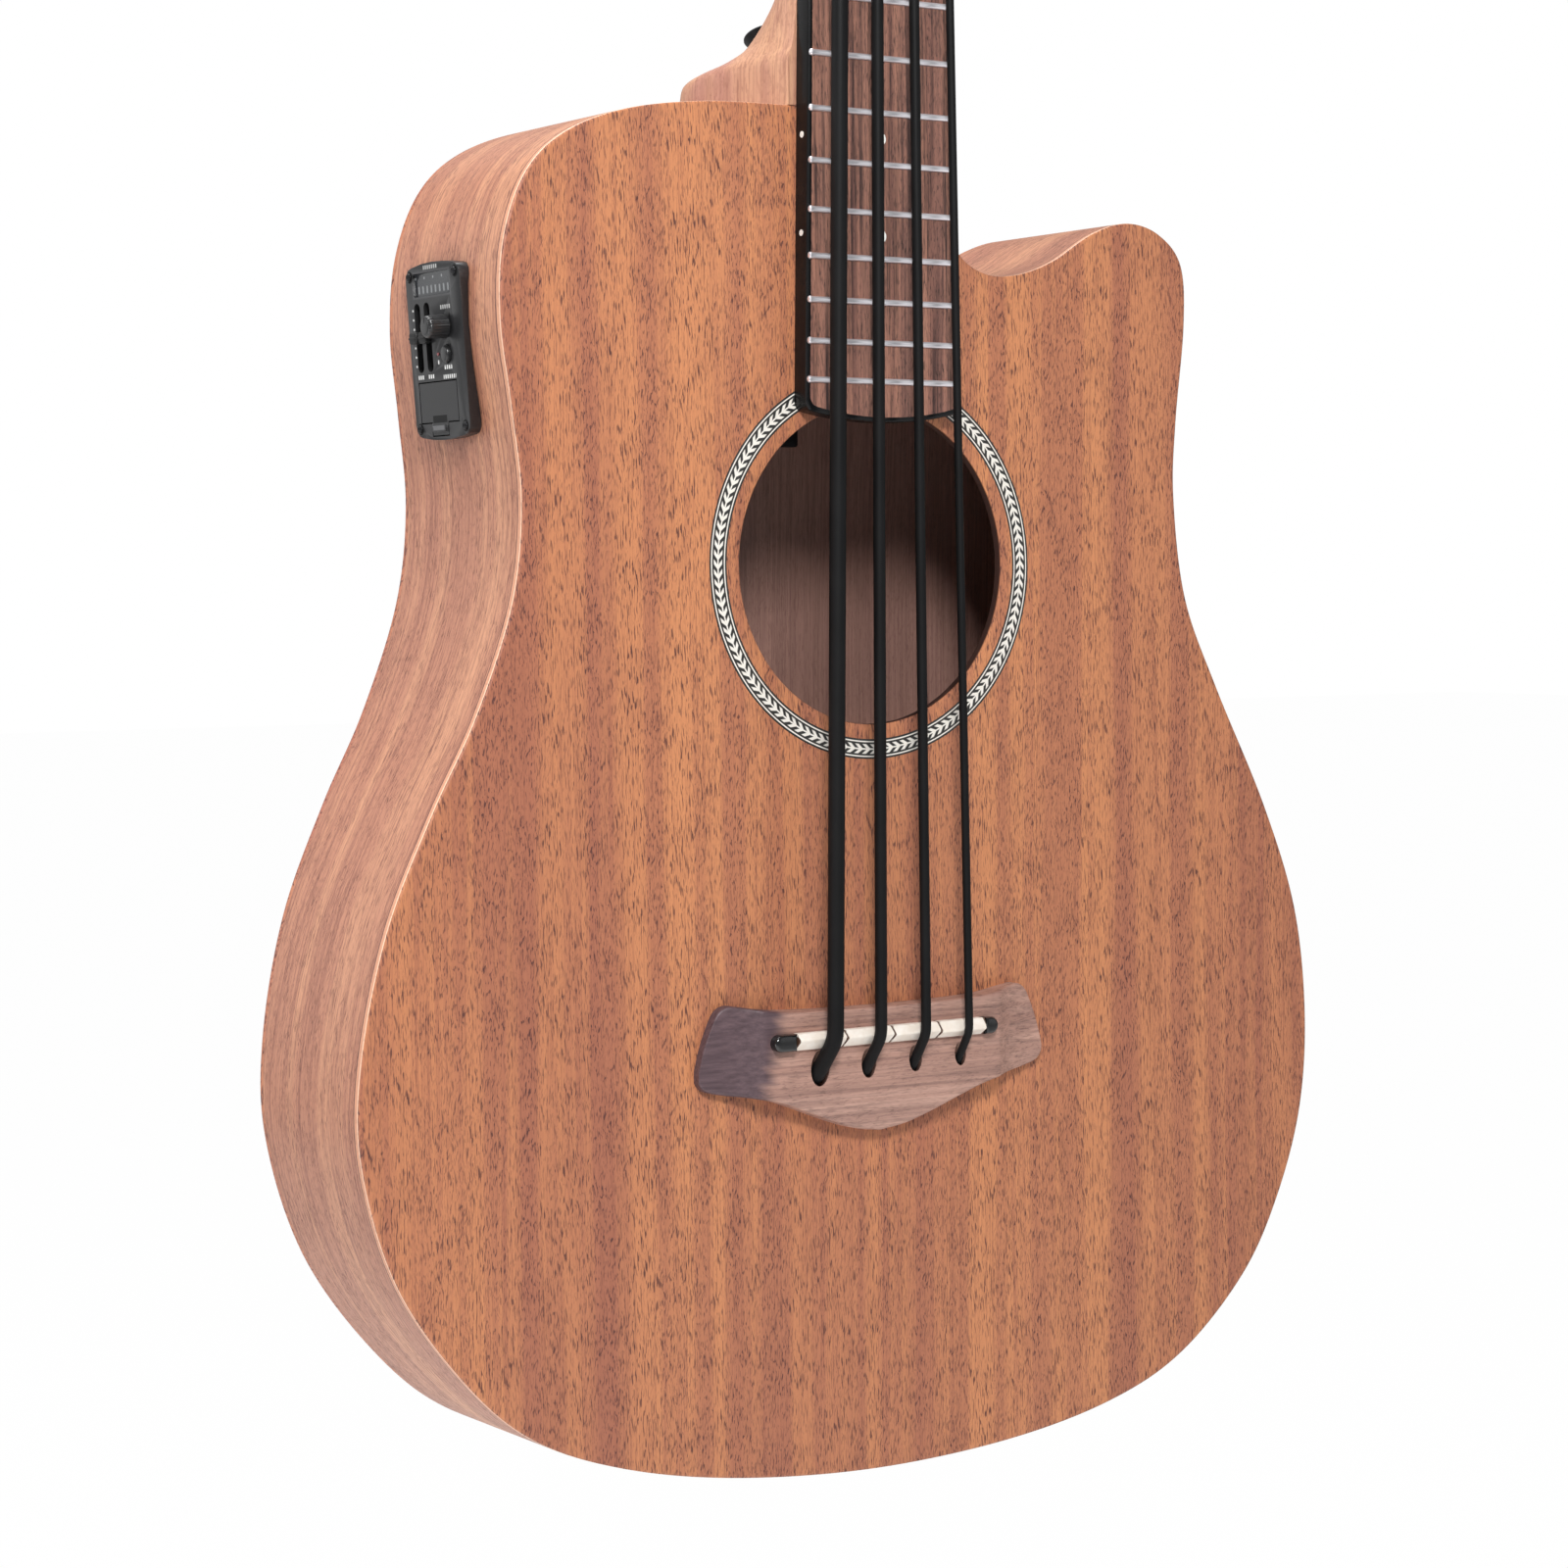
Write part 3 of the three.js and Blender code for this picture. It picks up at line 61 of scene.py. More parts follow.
MM = 0.001
SCALE_LENGTH = 635.0
SEAM = 0.3
HAIR = 0.02
SPAN_STEPS = 10
CREASE = math.radians(32)

# Body
JOINT_HEIGHT = 284.2
BODY_LENGTH = 427.8
BODY_HALF_WIDTH = 182.0
TAIL_HEIGHT = JOINT_HEIGHT - BODY_LENGTH
BACK_DEPTH = 80.0
BACK_ARCH_HEIGHT = 103.0
BACK_ARCH_RADIUS = 1646.0
BACK_ROUND = 0.9
BACK_RING_INSET = 1.0
TOP_THICKNESS = 3.0
BACK_THICKNESS = 2.6
SIDE_THICKNESS = 2.2
SIDE_START = 0.05
BINDING_WIDTH = 1.6
BINDING_CORNER = (0.5, 0.8)

# Soundhole and rosette; the inlay's bands lie at distances from the middle of the rosette's width
HOLE_HEIGHT = 143.2
HOLE_RADIUS = 50.0
HOLE_EASE = 0.6
HOLE_EASE_SHARE = 0.3
ROSETTE_OUTER = 61.0
ROSETTE_WIDTH = 6.3
ROSETTE_DEPTH = 1.0
ROSETTE_STEPS = 240
LEAF_COUNT = 124
LEAF_LEAN = 0.42
LEAF_SHARES = (0.05, 0.55)
LEAF_EDGE = (1.6, 1.42)
STEM_EDGE = (0.3, 0.18)
LINE_BAND = (2.12, 2.52)

# Clip that holds a wire against the back, as seen through the soundhole
CLIP_PLACE = (16.0, 186.5)
CLIP_WIDTH = 7.0
CLIP_CORNER = 1.0
CLIP_DEPTHS = (-76.4, -70.5)
CLIP_EASE = 0.6

# Neck and headstock
NUT_HALF_WIDTH = 22.6
BOARD_TAPER = 0.0152
NECK_DEPTH = 21.0
NECK_POINTS = 56
HEEL_DEPTH = 72.0
HEEL_HALF_WIDTH = 31.0
HEEL_FLARE_HEIGHT = 60.0
HEAD_TILT = math.radians(12)
HEAD_LENGTH = 152.0
HEAD_THICKNESS = 14.5
HEAD_HALF_WIDTH = 37.0
HEAD_BACK_EASE = 1.6
HEAD_PLATE = 1.5
HEAD_PLATE_EASE = 0.5

# Fretboard
BOARD_THICKNESS = 6.5
BOARD_END = 187.4
BOARD_END_ARC = 3.4
BOARD_BINDING = 1.5
BOARD_RIM_CORNER = (0.55, 0.8)
BOARD_CORNER = 2.2
FRET_COUNT = 20
FRET_WIDTH = 1.9
FRET_CROWN = 1.0
FRET_CROWN_POWER = 0.8
FRET_TANG = 0.6
FRET_END_GAP = 0.2
FRET_END_SHARES = [(0, 0.08), (0.2, 0.8), (0.55, 1.12), (1.0, 1.16), (1.6, 1.0)]
NUT_THICKNESS = 5.0
NUT_EASE = 0.25
DOT_SHIFT = -1.0
DOT_RADIUS = 2.1
DOT_DEPTH = 0.4
DOT_RISE = 0.03
PAIR_REACH = 10.0
PAIR_FRET = 12
DOT_FRETS = (3, 5, 7, 9, 15, 17)
SIDE_DOT_FRETS = (3, 5, 7, 9, 12, 15, 17)
SIDE_DOT_PROFILE = [(1.0, 0), (1.0, 0.55)]

# Bridge and saddle
BRIDGE_HALF_WIDTH = 66.0
BRIDGE_SHIFT = -2.3
BRIDGE_TOP = 8.4
BRIDGE_TIP = -34.5
BRIDGE_THICKNESS = 8.2
BRIDGE_WING = 3.0
BRIDGE_FLAT = 45.0
BRIDGE_TIP_THICKNESS = 5.5
BRIDGE_TIP_FLAT = -20.0
BRIDGE_TIP_POWER = 1.4
BRIDGE_EDGE = 0.9
BRIDGE_EDGE_SHARE = 0.3
BRIDGE_END_GAP = 0.15
BRIDGE_SLICES = 161
BRIDGE_ROWS = 25
SADDLE_HEIGHT = -3.7
SADDLE_HALF_LENGTH = 36.0
SADDLE_SHIFT = -1.0
SADDLE_WIDTH = 5.4
SADDLE_RISE = 3.6
SADDLE_SHOULDER = 2.4
SADDLE_BACK_SHOULDER = 1.2
SADDLE_SEAT = 3.5
SADDLE_EASE = 0.45
SADDLE_LINE_BEND = 0.35
SADDLE_LINE_SHIFT = 0.4
CAP_LENGTHS = {-1: 8.6, 1: 5.4}
CAP_RISE = 3.2
CAP_EASE = 1.2
HOLE_ROW = -16.8
HOLE_SLACK = 0.9
HOLE_OVERRUN = 4.0

# Strings: name, diameter, setback of the saddle's crest, turns on the post
STRINGS = [
    ("e", 5.2, 0.6, 1.75), ("a", 3.8, 0.2, 2.25), ("d", 3.2, -0.2, 2.5), ("g", 2.6, -0.7, 3.0),
]
STRING_SHARES = [-0.5, -0.16, 0.174, 0.5]
SADDLE_SPREAD = 52.6
HOLE_SPREAD = 54.6
SPREAD_SHIFT = 0.1
NUT_SPREAD = 31.8
NUT_STRING_RISE = 12.4
CREST_LIFT_SHARE = 1.35
HOLE_BEND_SHARE = 0.6
STRING_BEND_SHARE = 1.6
STRING_SIDES = 20
BEND_STEPS = 10
TWIST_STEPS = 7
TURN_STEPS = 40
WINDING_GAP = 0.6

# Tuning machines: distance from the nut and from the middle of the headstock
TUNERS = {"e": (-21.0, 44.0), "a": (-19.0, 102.0), "d": (19.0, 102.0), "g": (21.0, 44.0)}
POST_RADIUS = 4.6
POST_HEIGHT = 20.0
POST_FOOT = 6.0
POST_CAP = 6.0
POST_CAP_DROPS = (4.2, 3.2, 1.4)
POST_CENTRE = 0.6
POST_EASE = 0.8
WORM_OFFSET = 7.0
HOUSING_WIDTH = 18.0
HOUSING_DEPTH = 11.0
HOUSING_PLATE = 1.6
HOUSING_EASE = 0.6
KEY_SHAFT = 2.5
KEY_SHAFT_DEPTH = 5.7
KEY_OVERLAP = 4.0
KEY_LENGTH = 20.0
KEY_HALF_WIDTH = 12.0
KEY_HALF_THICKNESS = 5.0
KEY_GAP = 3.0

# Preamp
PREAMP_HEIGHT = 208.0
PREAMP_DEPTH = 36.0
OPENING_SIZE = (29.6, 47.6)
OPENING_CORNER = 3.0
OPENING_REACH = 9.0
PANEL_LENGTH = 53.3
PANEL_RISE = 2.6
PANEL_EASE = 0.55
BOX_EASE = 0.3
DOOR_EASE = 0.25
CONTROL_FLOOR = -3.8
CONTROL_GAP = 0.4
TRIM_FLOOR = PANEL_RISE - 0.05

# Knob: draw-in of its radius, with the height above its foot and the drop below its top
KNOB_PLACE = (6.3, 7.0)
KNOB_RADIUS = 3.65
KNOB_HEIGHT = 7.2
KNOB_FOOT = [(0.0, 0.0), (0.05, 1.6)]
KNOB_CROWN = [(0.2, 1.6), (0.35, 0.7), (1.2, 0.0)]
KNOB_CENTRE = (0.6, 0.05)
KNOB_EASE = 0.5
KNOB_SIDES = 192
KNOB_FLUTES = 24
KNOB_FLUTE_SHARE = 0.03
KNOB_STEM_RADIUS = 2.4
KNOB_STEM_OVERLAP = 0.5
POINTER_WIDTH = 0.6
POINTER_CORNER = 0.25
POINTER_DEPTH = 0.3
POINTER_RISE = 0.12
POINTER_EASE = 0.1

# Button, indicator and screws
BUTTON_PLACE = (6.0, -1.2)
BUTTON_RADIUS = 2.6
BUTTON_NARROW_SHARE = 0.8
BUTTON_PROUD = 1.2
BUTTON_EASE = 0.7
LED_PLACE = (0.6, -1.0)
LED_PROFILE = [(0.5, 0), (0.5, 0.25), (0.25, 0.42)]
SCREW_PLACES = [(-14.2, -22.9), (14.2, -22.9), (-14.2, 22.9), (14.2, 22.9)]
SCREW_RADIUS = 1.25
SCREW_PROFILE = [
    (SCREW_RADIUS, 0.0), (SCREW_RADIUS, 0.35), (SCREW_RADIUS * 0.75, 0.7), (0.6, 0.75),
    (0.35, 0.25), (0.1, 0.2),
]
SCREW_EASE = 0.2
# Reaches beyond the screw's head at which its painted shade ends and is full
SCREW_RING = (0.65, 0.45)

# Sliders; a part is width, length, corner, low and high end over the panel, upper and lower ease
SLOT_PLACES = {"bass_slider": -11.0, "treble_slider": -5.0}
SLOT_HEIGHT = 4.4
SLOT_REACH = 8.6
SLOT_SHADE = (1.95, 1.75)
SLOT_MOUTH = (3.5, 20.8, 1.7)
SLOT_MOUTH_REACH = 3.0
SLIDER_PARTS = [
    (1.6, 3.0, 0.5, CONTROL_FLOOR - PANEL_RISE, 1.2, 0.0, 0.0),
    (4.4, 3.6, 0.8, CONTROL_GAP, 2.3, 0.6, 0.2),
    (4.0, 0.7, 0.3, 2.0, 2.55, 0.25, 0.0),
]

# Marks on the panel, in millimetres right and up from its middle
TICK_PITCH = 2.8
TICK_REACH = 8.9
TICK_ENDS = (-14.1, -13.2)
LABEL_PITCH = 1.3
LABEL_SHIFT = 0.4
LABEL_HALF_HEIGHT = 0.6
LABEL_PLACES = [
    (6.6, 12.8, 6.5), (5.9, -5.1, 5.2), (-11.4, -7.4, 3.9), (-5.2, -7.4, 3.9), (6.6, -7.9, 7.8),
    (0.5, -3.4, 1.3), (-0.8, 25.2, 9.0),
]
WINDOW_SIDES = (-12.4, 10.4)
WINDOW_ENDS = (16.8, 23.6)
WINDOW_BRIM = 0.7
DISPLAY_SHIFT = 1.0
BAR_PITCH = 2.6
BAR_ENDS = (17.6, 19.8)
POINT_PITCH = 5.5
POINT_ENDS = (21.9, 22.6)
THUMB_SHIFT = 1.5
# The hatch's thumb recess, painted dark as shade, and the tab below it, painted light as a
# highlight: half widths and ends
NOTCH_HALF_WIDTH = (4.5, 4.3)
NOTCH_ENDS = (-21.4, -19.2)
LIP_HALF_WIDTH = (3.6, 3.4)
LIP_ENDS = (-23.6, -22.2)

# Strap button and output jack
STRAP_BASE = (0.0, 53.5, 302.75)
STRAP_DIRECTION = (0.0, 0.4, 0.9165)
STRAP_PROFILE = [
    (6.0, 0.3), (6.0, 2.5), (4.0, 5.0), (4.0, 6.5), (7.4, 13.4), (7.3, 14.0), (5.0, 14.1),
]
STRAP_EASE = 0.2
JACK_EASE = 0.3

# Outline of the body as shares of its half width and of its length
BASS_SHARES = [
    (0.148, 1), (0.33, 0.998), (0.489, 0.988), (0.608, 0.968), (0.681, 0.938), (0.721, 0.892),
    (0.7275, 0.838), (0.709, 0.78), (0.692, 0.714), (0.7115, 0.644), (0.78, 0.567),
    (0.8625, 0.501), (0.9455, 0.423), (0.994, 0.336), (0.996, 0.2655), (0.938, 0.183),
    (0.824, 0.1125), (0.692, 0.062), (0.511, 0.03), (0.279, 0.0095),
]
TREBLE_SHARES = [
    (0.286, 0.0045), (0.522, 0.0215), (0.692, 0.051), (0.8395, 0.1055), (0.925, 0.165),
    (0.981, 0.235), (0.994, 0.312), (0.967, 0.3965), (0.891, 0.48), (0.775, 0.574),
    (0.7005, 0.644), (0.6735, 0.7215), (0.6785, 0.78), (0.698, 0.8545), (0.691, 0.9015),
    (0.639, 0.9245), (0.5655, 0.9315), (0.4835, 0.9215), (0.3955, 0.8995), (0.3185, 0.888),
    (0.247, 0.887), (0.1895, 0.9), (0.162, 0.9245), (0.15, 0.962), (0.148, 1),
]
BACK_OUTER_SHARES = [0.97, 0.9, 0.8, 0.68, 0.55, 0.42, 0.3, 0.18, 0.08]
BACK_INNER_SHARES = [1.0, 0.85, 0.7, 0.55, 0.4, 0.25, 0.1]

# Heel stations: share of the flare's height, shares of the extra width and depth, squareness
HEEL_SHARES = [
    (0, 1, 1, 9), (0.12, 1, 1, 8.5), (0.2, 1, 0.99, 8), (0.24, 0.95, 0.97, 6.6),
    (0.27, 0.8, 0.9, 5), (0.297, 0.6, 0.78, 3.6), (0.33, 0.45, 0.68, 2.8),
    (0.363, 0.35, 0.61, 2.4), (0.423, 0.25, 0.51, 2.2), (0.497, 0.15, 0.385, 2.1),
    (0.585, 0.08, 0.26, 2), (0.672, 0.03, 0.17, 2), (0.755, 0, 0.115, 2), (0.87, 0, 0.07, 2),
    (1.05, 0, 0.03, 2), (1.35, 0, 0, 2),
]
VOLUTE_SHARES = [(0.7, 0.98, 0.93), (1.9, 0.9, 0.99)]
BOARD_END_SHARES = [
    (-1, 1), (-0.97, 0.3), (-0.9, 0), (-0.5, 0), (0, 0), (0.5, 0), (0.9, 0), (0.97, 0.3), (1, 1),
]
SCOOP_SHARES = [(0, 0), (0.15, 0.3), (0.35, 0.62), (0.6, 0.86), (0.8, 0.96), (1, 1)]
BRIDGE_SHARES = [
    (0, 0.918), (0.35, 0.924), (0.6, 0.942), (0.78, 0.985), (0.84, 0.995), (0.885, 0.965),
    (0.915, 0.9), (0.965, 0.72), (1, 0.52), (0.995, 0.45), (0.96, 0.395), (0.87, 0.36),
    (0.74, 0.33), (0.6, 0.282), (0.45, 0.2), (0.3, 0.11), (0.15, 0.035), (0, 0),
]
BRIDGE_POINT = 8
HEAD_SHARES = [
    (0.61, 0), (0.63, 0.03), (0.7, 0.09), (0.86, 0.16), (0.96, 0.24), (1, 0.34), (0.985, 0.6),
    (0.96, 0.85), (0.93, 0.93), (0.84, 0.965), (0.6, 0.975), (0.3, 0.99), (0, 1),
]
KEY_SHARES = [(0.3, 0), (0.38, 0.14), (0.8, 0.3), (1, 0.58), (0.92, 0.84), (0.6, 0.97), (0.1, 1)]


# Curves and placing ------------------------------------------------------------------------

def to_frame(points):
    """Millimetres from the saddle line to metres from the nut line."""
    return (np.asarray(points) - (0, 0, SCALE_LENGTH)) * MM


def catmull(points, steps):
    """Cubic through all the points; the slope at each is half the step between its neighbours."""
    p = np.asarray(points, float)
    start, end = p[:-1], p[1:]
    leave = (end - np.concatenate([p[:1], p[:-2]])) / 2
    reach = (np.concatenate([p[2:], p[-1:]]) - start) / 2
    t = (np.arange(steps) / steps)[None, :, None]
    start, end, leave, reach = (v[:, None, :] for v in (start, end, leave, reach))
    cubic = 2 * start - 2 * end + leave + reach
    square = 3 * end - 3 * start - 2 * leave - reach
    curve = (cubic * t + square) * t * t + leave * t + start
    return np.concatenate([curve.reshape(-1, p.shape[1]), p[-1:]])


def unit(vectors):
    """Vectors divided by their own lengths."""
    return vectors / np.linalg.norm(vectors, axis=-1, keepdims=True)


def inset(outline, distance):
    """Moves a closed anticlockwise outline inwards along the bisector of its two edge normals."""
    p = np.asarray(outline, float)
    turn = np.array([[0, 1], [-1, 0]])
    before = unit((np.roll(p, 1, axis=0) - p) @ turn.T)
    after = unit((p - np.roll(p, -1, axis=0)) @ turn.T)
    middle = unit(before + after)
    return p + middle * distance / (middle * before).sum(1, keepdims=True)


def soften(points, reach, steps=4):
    """Rounds the inner corners of a line: a parabola from a reach before to a reach after each."""
    p = np.asarray(points, float)
    t = np.linspace(0, 1, steps + 1)[:, None]
    runs = [p[:1]]
    for before, corner, after in zip(p[:-2], p[1:-1], p[2:]):
        a = corner + unit(before - corner) * min(reach, np.linalg.norm(before - corner) / 2)
        b = corner + unit(after - corner) * min(reach, np.linalg.norm(after - corner) / 2)
        runs.append((1 - t) ** 2 * a + 2 * t * (1 - t) * corner + t ** 2 * b)
    return np.concatenate([*runs, p[-1:]])


def circle(radius, cx=0.0, cy=0.0, sides=48):
    """Points at even angles, anticlockwise."""
    angle = np.arange(sides) * 2 * math.pi / sides
    return np.column_stack([cx + radius * np.cos(angle), cy + radius * np.sin(angle)])


def quarter(wide, deep, start=0.0, steps=4):
    """Quarter of an ellipse, as pairs from (0, start + deep) to (wide, start)."""
    angles = np.linspace(0, math.pi / 2, steps + 1)
    return [(wide * (1 - math.cos(a)), start + deep * (1 - math.sin(a))) for a in angles]


def rounded_box(width, length, corner, cx=0.0, cy=0.0, steps=6):
    """Rectangle whose corners are quarter circles."""
    angle = (np.arange(4)[:, None] + np.linspace(0, 1, steps + 1)) * math.pi / 2
    signs = np.array([(1, 1), (-1, 1), (-1, -1), (1, -1)])
    x = cx + signs[:, :1] * (width / 2 - corner) + corner * np.cos(angle)
    y = cy + signs[:, 1:] * (length / 2 - corner) + corner * np.sin(angle)
    return np.column_stack([x.ravel(), y.ravel()])


def basis(right, up, out, origin):
    """Placing matrix of a piece's own frame."""
    matrix = np.eye(4)
    matrix[:3, :4] = np.column_stack([right, up, out, origin])
    return matrix


def shifted(matrix, x, y, z=0.0):
    """The same frame with its origin moved along its own axes."""
    return matrix @ basis((1, 0, 0), (0, 1, 0), (0, 0, 1), (x, y, z))


def axis_frame(origin, direction):
    """Frame whose third axis points along a direction."""
    out = unit(np.asarray(direction, float))
    aside = unit(np.cross((0, 1, 0) if abs(out[1]) < 0.9 else (1, 0, 0), out))
    return basis(aside, np.cross(out, aside), out, origin)


FRONT = basis((1, 0, 0), (0, 0, 1), (0, -1, 0), (0, 0, 0))


# Shapes ------------------------------------------------------------------------------------

class Form:
    """Points and faces of a closed shape in millimetres, with a pattern place per point."""

    def __init__(self, points, quads, tris=(), pattern=None):
        self.points = np.asarray(points, float)
        self.quads = np.asarray(quads, int).reshape(-1, 4)
        self.tris = np.asarray(tris, int).reshape(-1, 3)
        self.pattern = np.zeros((len(self.points), 2)) if pattern is None else pattern

    def __add__(self, other):
        """Both forms as one; the second's faces count on from the first's points."""
        shift = len(self.points)
        return Form(
            np.concatenate([self.points, other.points]),
            np.concatenate([self.quads, other.quads + shift]),
            np.concatenate([self.tris, other.tris + shift]),
            np.concatenate([self.pattern, other.pattern]),
        )

    def placed(self, matrix):
        """Points turned by a placing matrix and moved to its origin."""
        points = self.points @ matrix[:3, :3].T + matrix[:3, 3]
        return Form(points, self.quads, self.tris, self.pattern).outward()

    def outward(self):
        """Turns all the faces round where the volume they enclose comes out negative."""
        p = self.points
        halves = np.vstack([self.quads[:, [0, 1, 2]], self.quads[:, [0, 2, 3]], self.tris])
        volume = (p[halves[:, 0]] * np.cross(p[halves[:, 1]], p[halves[:, 2]])).sum()
        if volume < 0:
            self.quads, self.tris = self.quads[:, ::-1], self.tris[:, ::-1]
        return self


def skin(rings, looped=False, pattern=None):
    """Quads between neighbouring closed rings[r, i]; the end rings close with a fan, or meet."""
    rings = np.asarray(rings, float)
    rows, count = rings.shape[:2]
    index = np.arange(rows * count).reshape(rows, count)
    along = np.vstack([index, index[:1]]) if looped else index
    across = np.roll(along, -1, axis=1)
    quads = np.stack([along[:-1], across[:-1], across[1:], along[1:]], axis=-1)
    points = rings.reshape(-1, 3)
    place = None if pattern is None else np.asarray(pattern, float).reshape(-1, 2)
    if looped:
        return Form(points, quads, (), place).outward()
    hubs = np.full(count, rows * count)
    first = np.column_stack([hubs, np.roll(index[0], -1), index[0]])
    last = np.column_stack([hubs + 1, index[-1], np.roll(index[-1], -1)])
    points = np.vstack([points, rings[0].mean(0), rings[-1].mean(0)])
    if place is not None:
        ends = np.asarray(pattern, float)[[0, -1]].mean(1)
        place = np.vstack([place, ends])
    return Form(points, quads, np.vstack([first, last]), place).outward()


def plate(outline, profile):
    """Outline drawn in by each distance of the profile, at that step's height along z."""
    return skin([
        np.column_stack([inset(outline, distance), np.full(len(outline), height)])
        for distance, height in profile
    ])


def edge(low, high, top=0.0, bottom=0.0, steps=4):
    """Profile of a plate whose two rims are quarter circles of their own radii."""
    under = quarter(bottom, bottom, low, steps)[::-1] if bottom else [(0, low)]
    over = quarter(top, -top, high, steps) if top else [(0, high)]
    return under + over


def turned(profile, sides=48, flutes=0, depth=0.0):
    """Profile of (radius, height) spun round z; flutes draw the radius in by depth, as a cosine."""
    profile = np.asarray(profile, float)
    angle = np.arange(sides) * 2 * math.pi / sides
    wave = 1 - depth * (1 - np.cos(flutes * angle)) / 2 if flutes else np.ones(sides)
    ring = np.column_stack([np.cos(angle) * wave, np.sin(angle) * wave])
    rings = np.zeros((len(profile), sides, 3))
    rings[:, :, :2] = profile[:, :1, None] * ring
    rings[:, :, 2] = profile[:, 1:]
    return skin(rings)


def tube(path, radius, reference, sides=STRING_SIDES):
    """Circle carried along a path, square to it; reference x tangent is its first axis."""
    path = np.asarray(path, float)
    tangent = unit(np.gradient(path, axis=0))
    first = unit(np.cross(tangent, reference))
    second = np.cross(tangent, first)
    angle = (np.arange(sides) * 2 * math.pi / sides)[None, :, None]
    radius = np.broadcast_to(radius, len(path))[:, None, None]
    ring = np.cos(angle) * first[:, None] + np.sin(angle) * second[:, None]
    return skin(path[:, None] + radius * ring)


# Pieces ------------------------------------------------------------------------------------

def link(name, data):
    """New object of some data, put into the scene."""
    item = bpy.data.objects.new(name, data)
    bpy.context.scene.collection.objects.link(item)
    return item


def mesh_of(name, form):
    """Mesh of a form's points, in the frame's metres, and of its faces."""
    mesh = bpy.data.meshes.new(name)
    mesh.from_pydata(to_frame(form.points), [], [*form.quads.tolist(), *form.tris.tolist()])
    return mesh


def add_piece(name, form, finish, body="instrument", replaces=()):
    """Makes a mesh piece of a form with its pattern, and hands it to its finish and body; the CAD
    nodes it stands for are hidden.
    """
    mesh = mesh_of(name, form)
    corners = np.empty(len(mesh.loops), dtype=np.int32)
    mesh.loops.foreach_get("vertex_index", corners)
    layer = mesh.uv_layers.new(name="pattern")
    layer.data.foreach_set("uv", (form.pattern[corners] * MM).astype(np.float32).ravel())
    return hand_over(name, mesh, finish, body, replaces)


def hand_over(name, mesh, finish, body, replaces):
    """Smooths a mesh up to the crease angle, gives it its finish and body, and hides the CAD nodes
    it replaces.
    """
    mesh.polygons.foreach_set("use_smooth", np.ones(len(mesh.polygons), dtype=bool))
    mesh.set_sharp_from_angle(angle=CREASE)
    mesh.update()
    piece = link(name, mesh)
    piece.data.materials.append(finish)
    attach(piece, body)
    if replaces:
        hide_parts(*replaces)
    return piece


def carve(piece, tools):
    """Cuts tool forms out of a piece and keeps the result as its plain mesh."""
    helpers = []
    for tool in tools:
        helper = link("tool", mesh_of("tool", tool))
        cut = piece.modifiers.new("cut", "BOOLEAN")
        cut.operation, cut.solver, cut.object = "DIFFERENCE", "EXACT", helper
        helpers.append(helper)
    shaped = piece.evaluated_get(bpy.context.evaluated_depsgraph_get())
    result = bpy.data.meshes.new_from_object(shaped)
    piece.modifiers.clear()
    piece.data = result
    result.set_sharp_from_angle(angle=CREASE)
    for helper in helpers:
        bpy.data.objects.remove(helper)
    return piece


def finished_copy(node, finish, body="instrument", ease=0.3):
    """The CAD node's own shape with its loose faces merged, flat faces joined and edges eased."""
    shape = bmesh.new()
    shape.from_mesh(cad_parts[node].data)
    bmesh.ops.remove_doubles(shape, verts=shape.verts, dist=1e-6)
    bmesh.ops.dissolve_limit(
        shape, angle_limit=math.radians(1), verts=shape.verts, edges=shape.edges,
    )
    mesh = bpy.data.meshes.new(node + "_finished")
    shape.to_mesh(mesh)
    shape.free()
    piece = hand_over(node + "_finished", mesh, finish, body, (node,))
    rim = piece.modifiers.new("eased edges", "BEVEL")
    rim.width, rim.segments, rim.limit_method = ease * MM, 2, "ANGLE"
    rim.angle_limit = math.radians(30)
    rim.harden_normals = True
    return piece


# Finishes ----------------------------------------------------------------------------------

def paint(red, green, blue):
    """Linear colour of a tone given in 0 to 255."""
    tone = np.array([red, green, blue]) / 255
    linear = np.where(tone <= 0.04045, tone / 12.92, ((tone + 0.055) / 1.055) ** 2.4)
    return (*linear.tolist(), 1.0)


class Wire:
    """An output of a finish's nodes; sums with wires and numbers add Math nodes."""

    def __init__(self, finish, socket):
        self.finish = finish
        self.socket = socket

    def __add__(self, other):
        return self.finish.maths("ADD", self, other)

    def __sub__(self, other):
        return self.finish.maths("SUBTRACT", self, other)

    def __rsub__(self, other):
        return self.finish.maths("SUBTRACT", other, self)

    def __mul__(self, other):
        return self.finish.maths("MULTIPLY", self, other)

    def __truediv__(self, other):
        return self.finish.maths("DIVIDE", self, other)

    def __abs__(self):
        return self.finish.maths("ABSOLUTE", self)

    __radd__ = __add__
    __rmul__ = __mul__

    def most(self, other):
        """The larger of two values."""
        return self.finish.maths("MAXIMUM", self, other)

    def fract(self):
        """The part behind the point, a saw of period 1."""
        return self.finish.maths("FRACT", self)

    def length_with(self, other):
        """Root of the sum of the two squares."""
        return self.finish.maths("SQRT", self * self + other * other)

    def rise(self, low, high):
        """0 below low, 1 above high, a smooth step between; falls where low is the larger."""
        ends = {1: min(low, high), 2: max(low, high), 3: float(low > high), 4: float(low <= high)}
        settings = {"interpolation_type": "SMOOTHSTEP"}
        return self.finish.node("ShaderNodeMapRange", settings, {0: self, **ends})

    def inside(self, low, high, blur):
        """1 between two values, with blurred ends."""
        return self.rise(low - blur, low + blur) * self.rise(high + blur, high - blur)


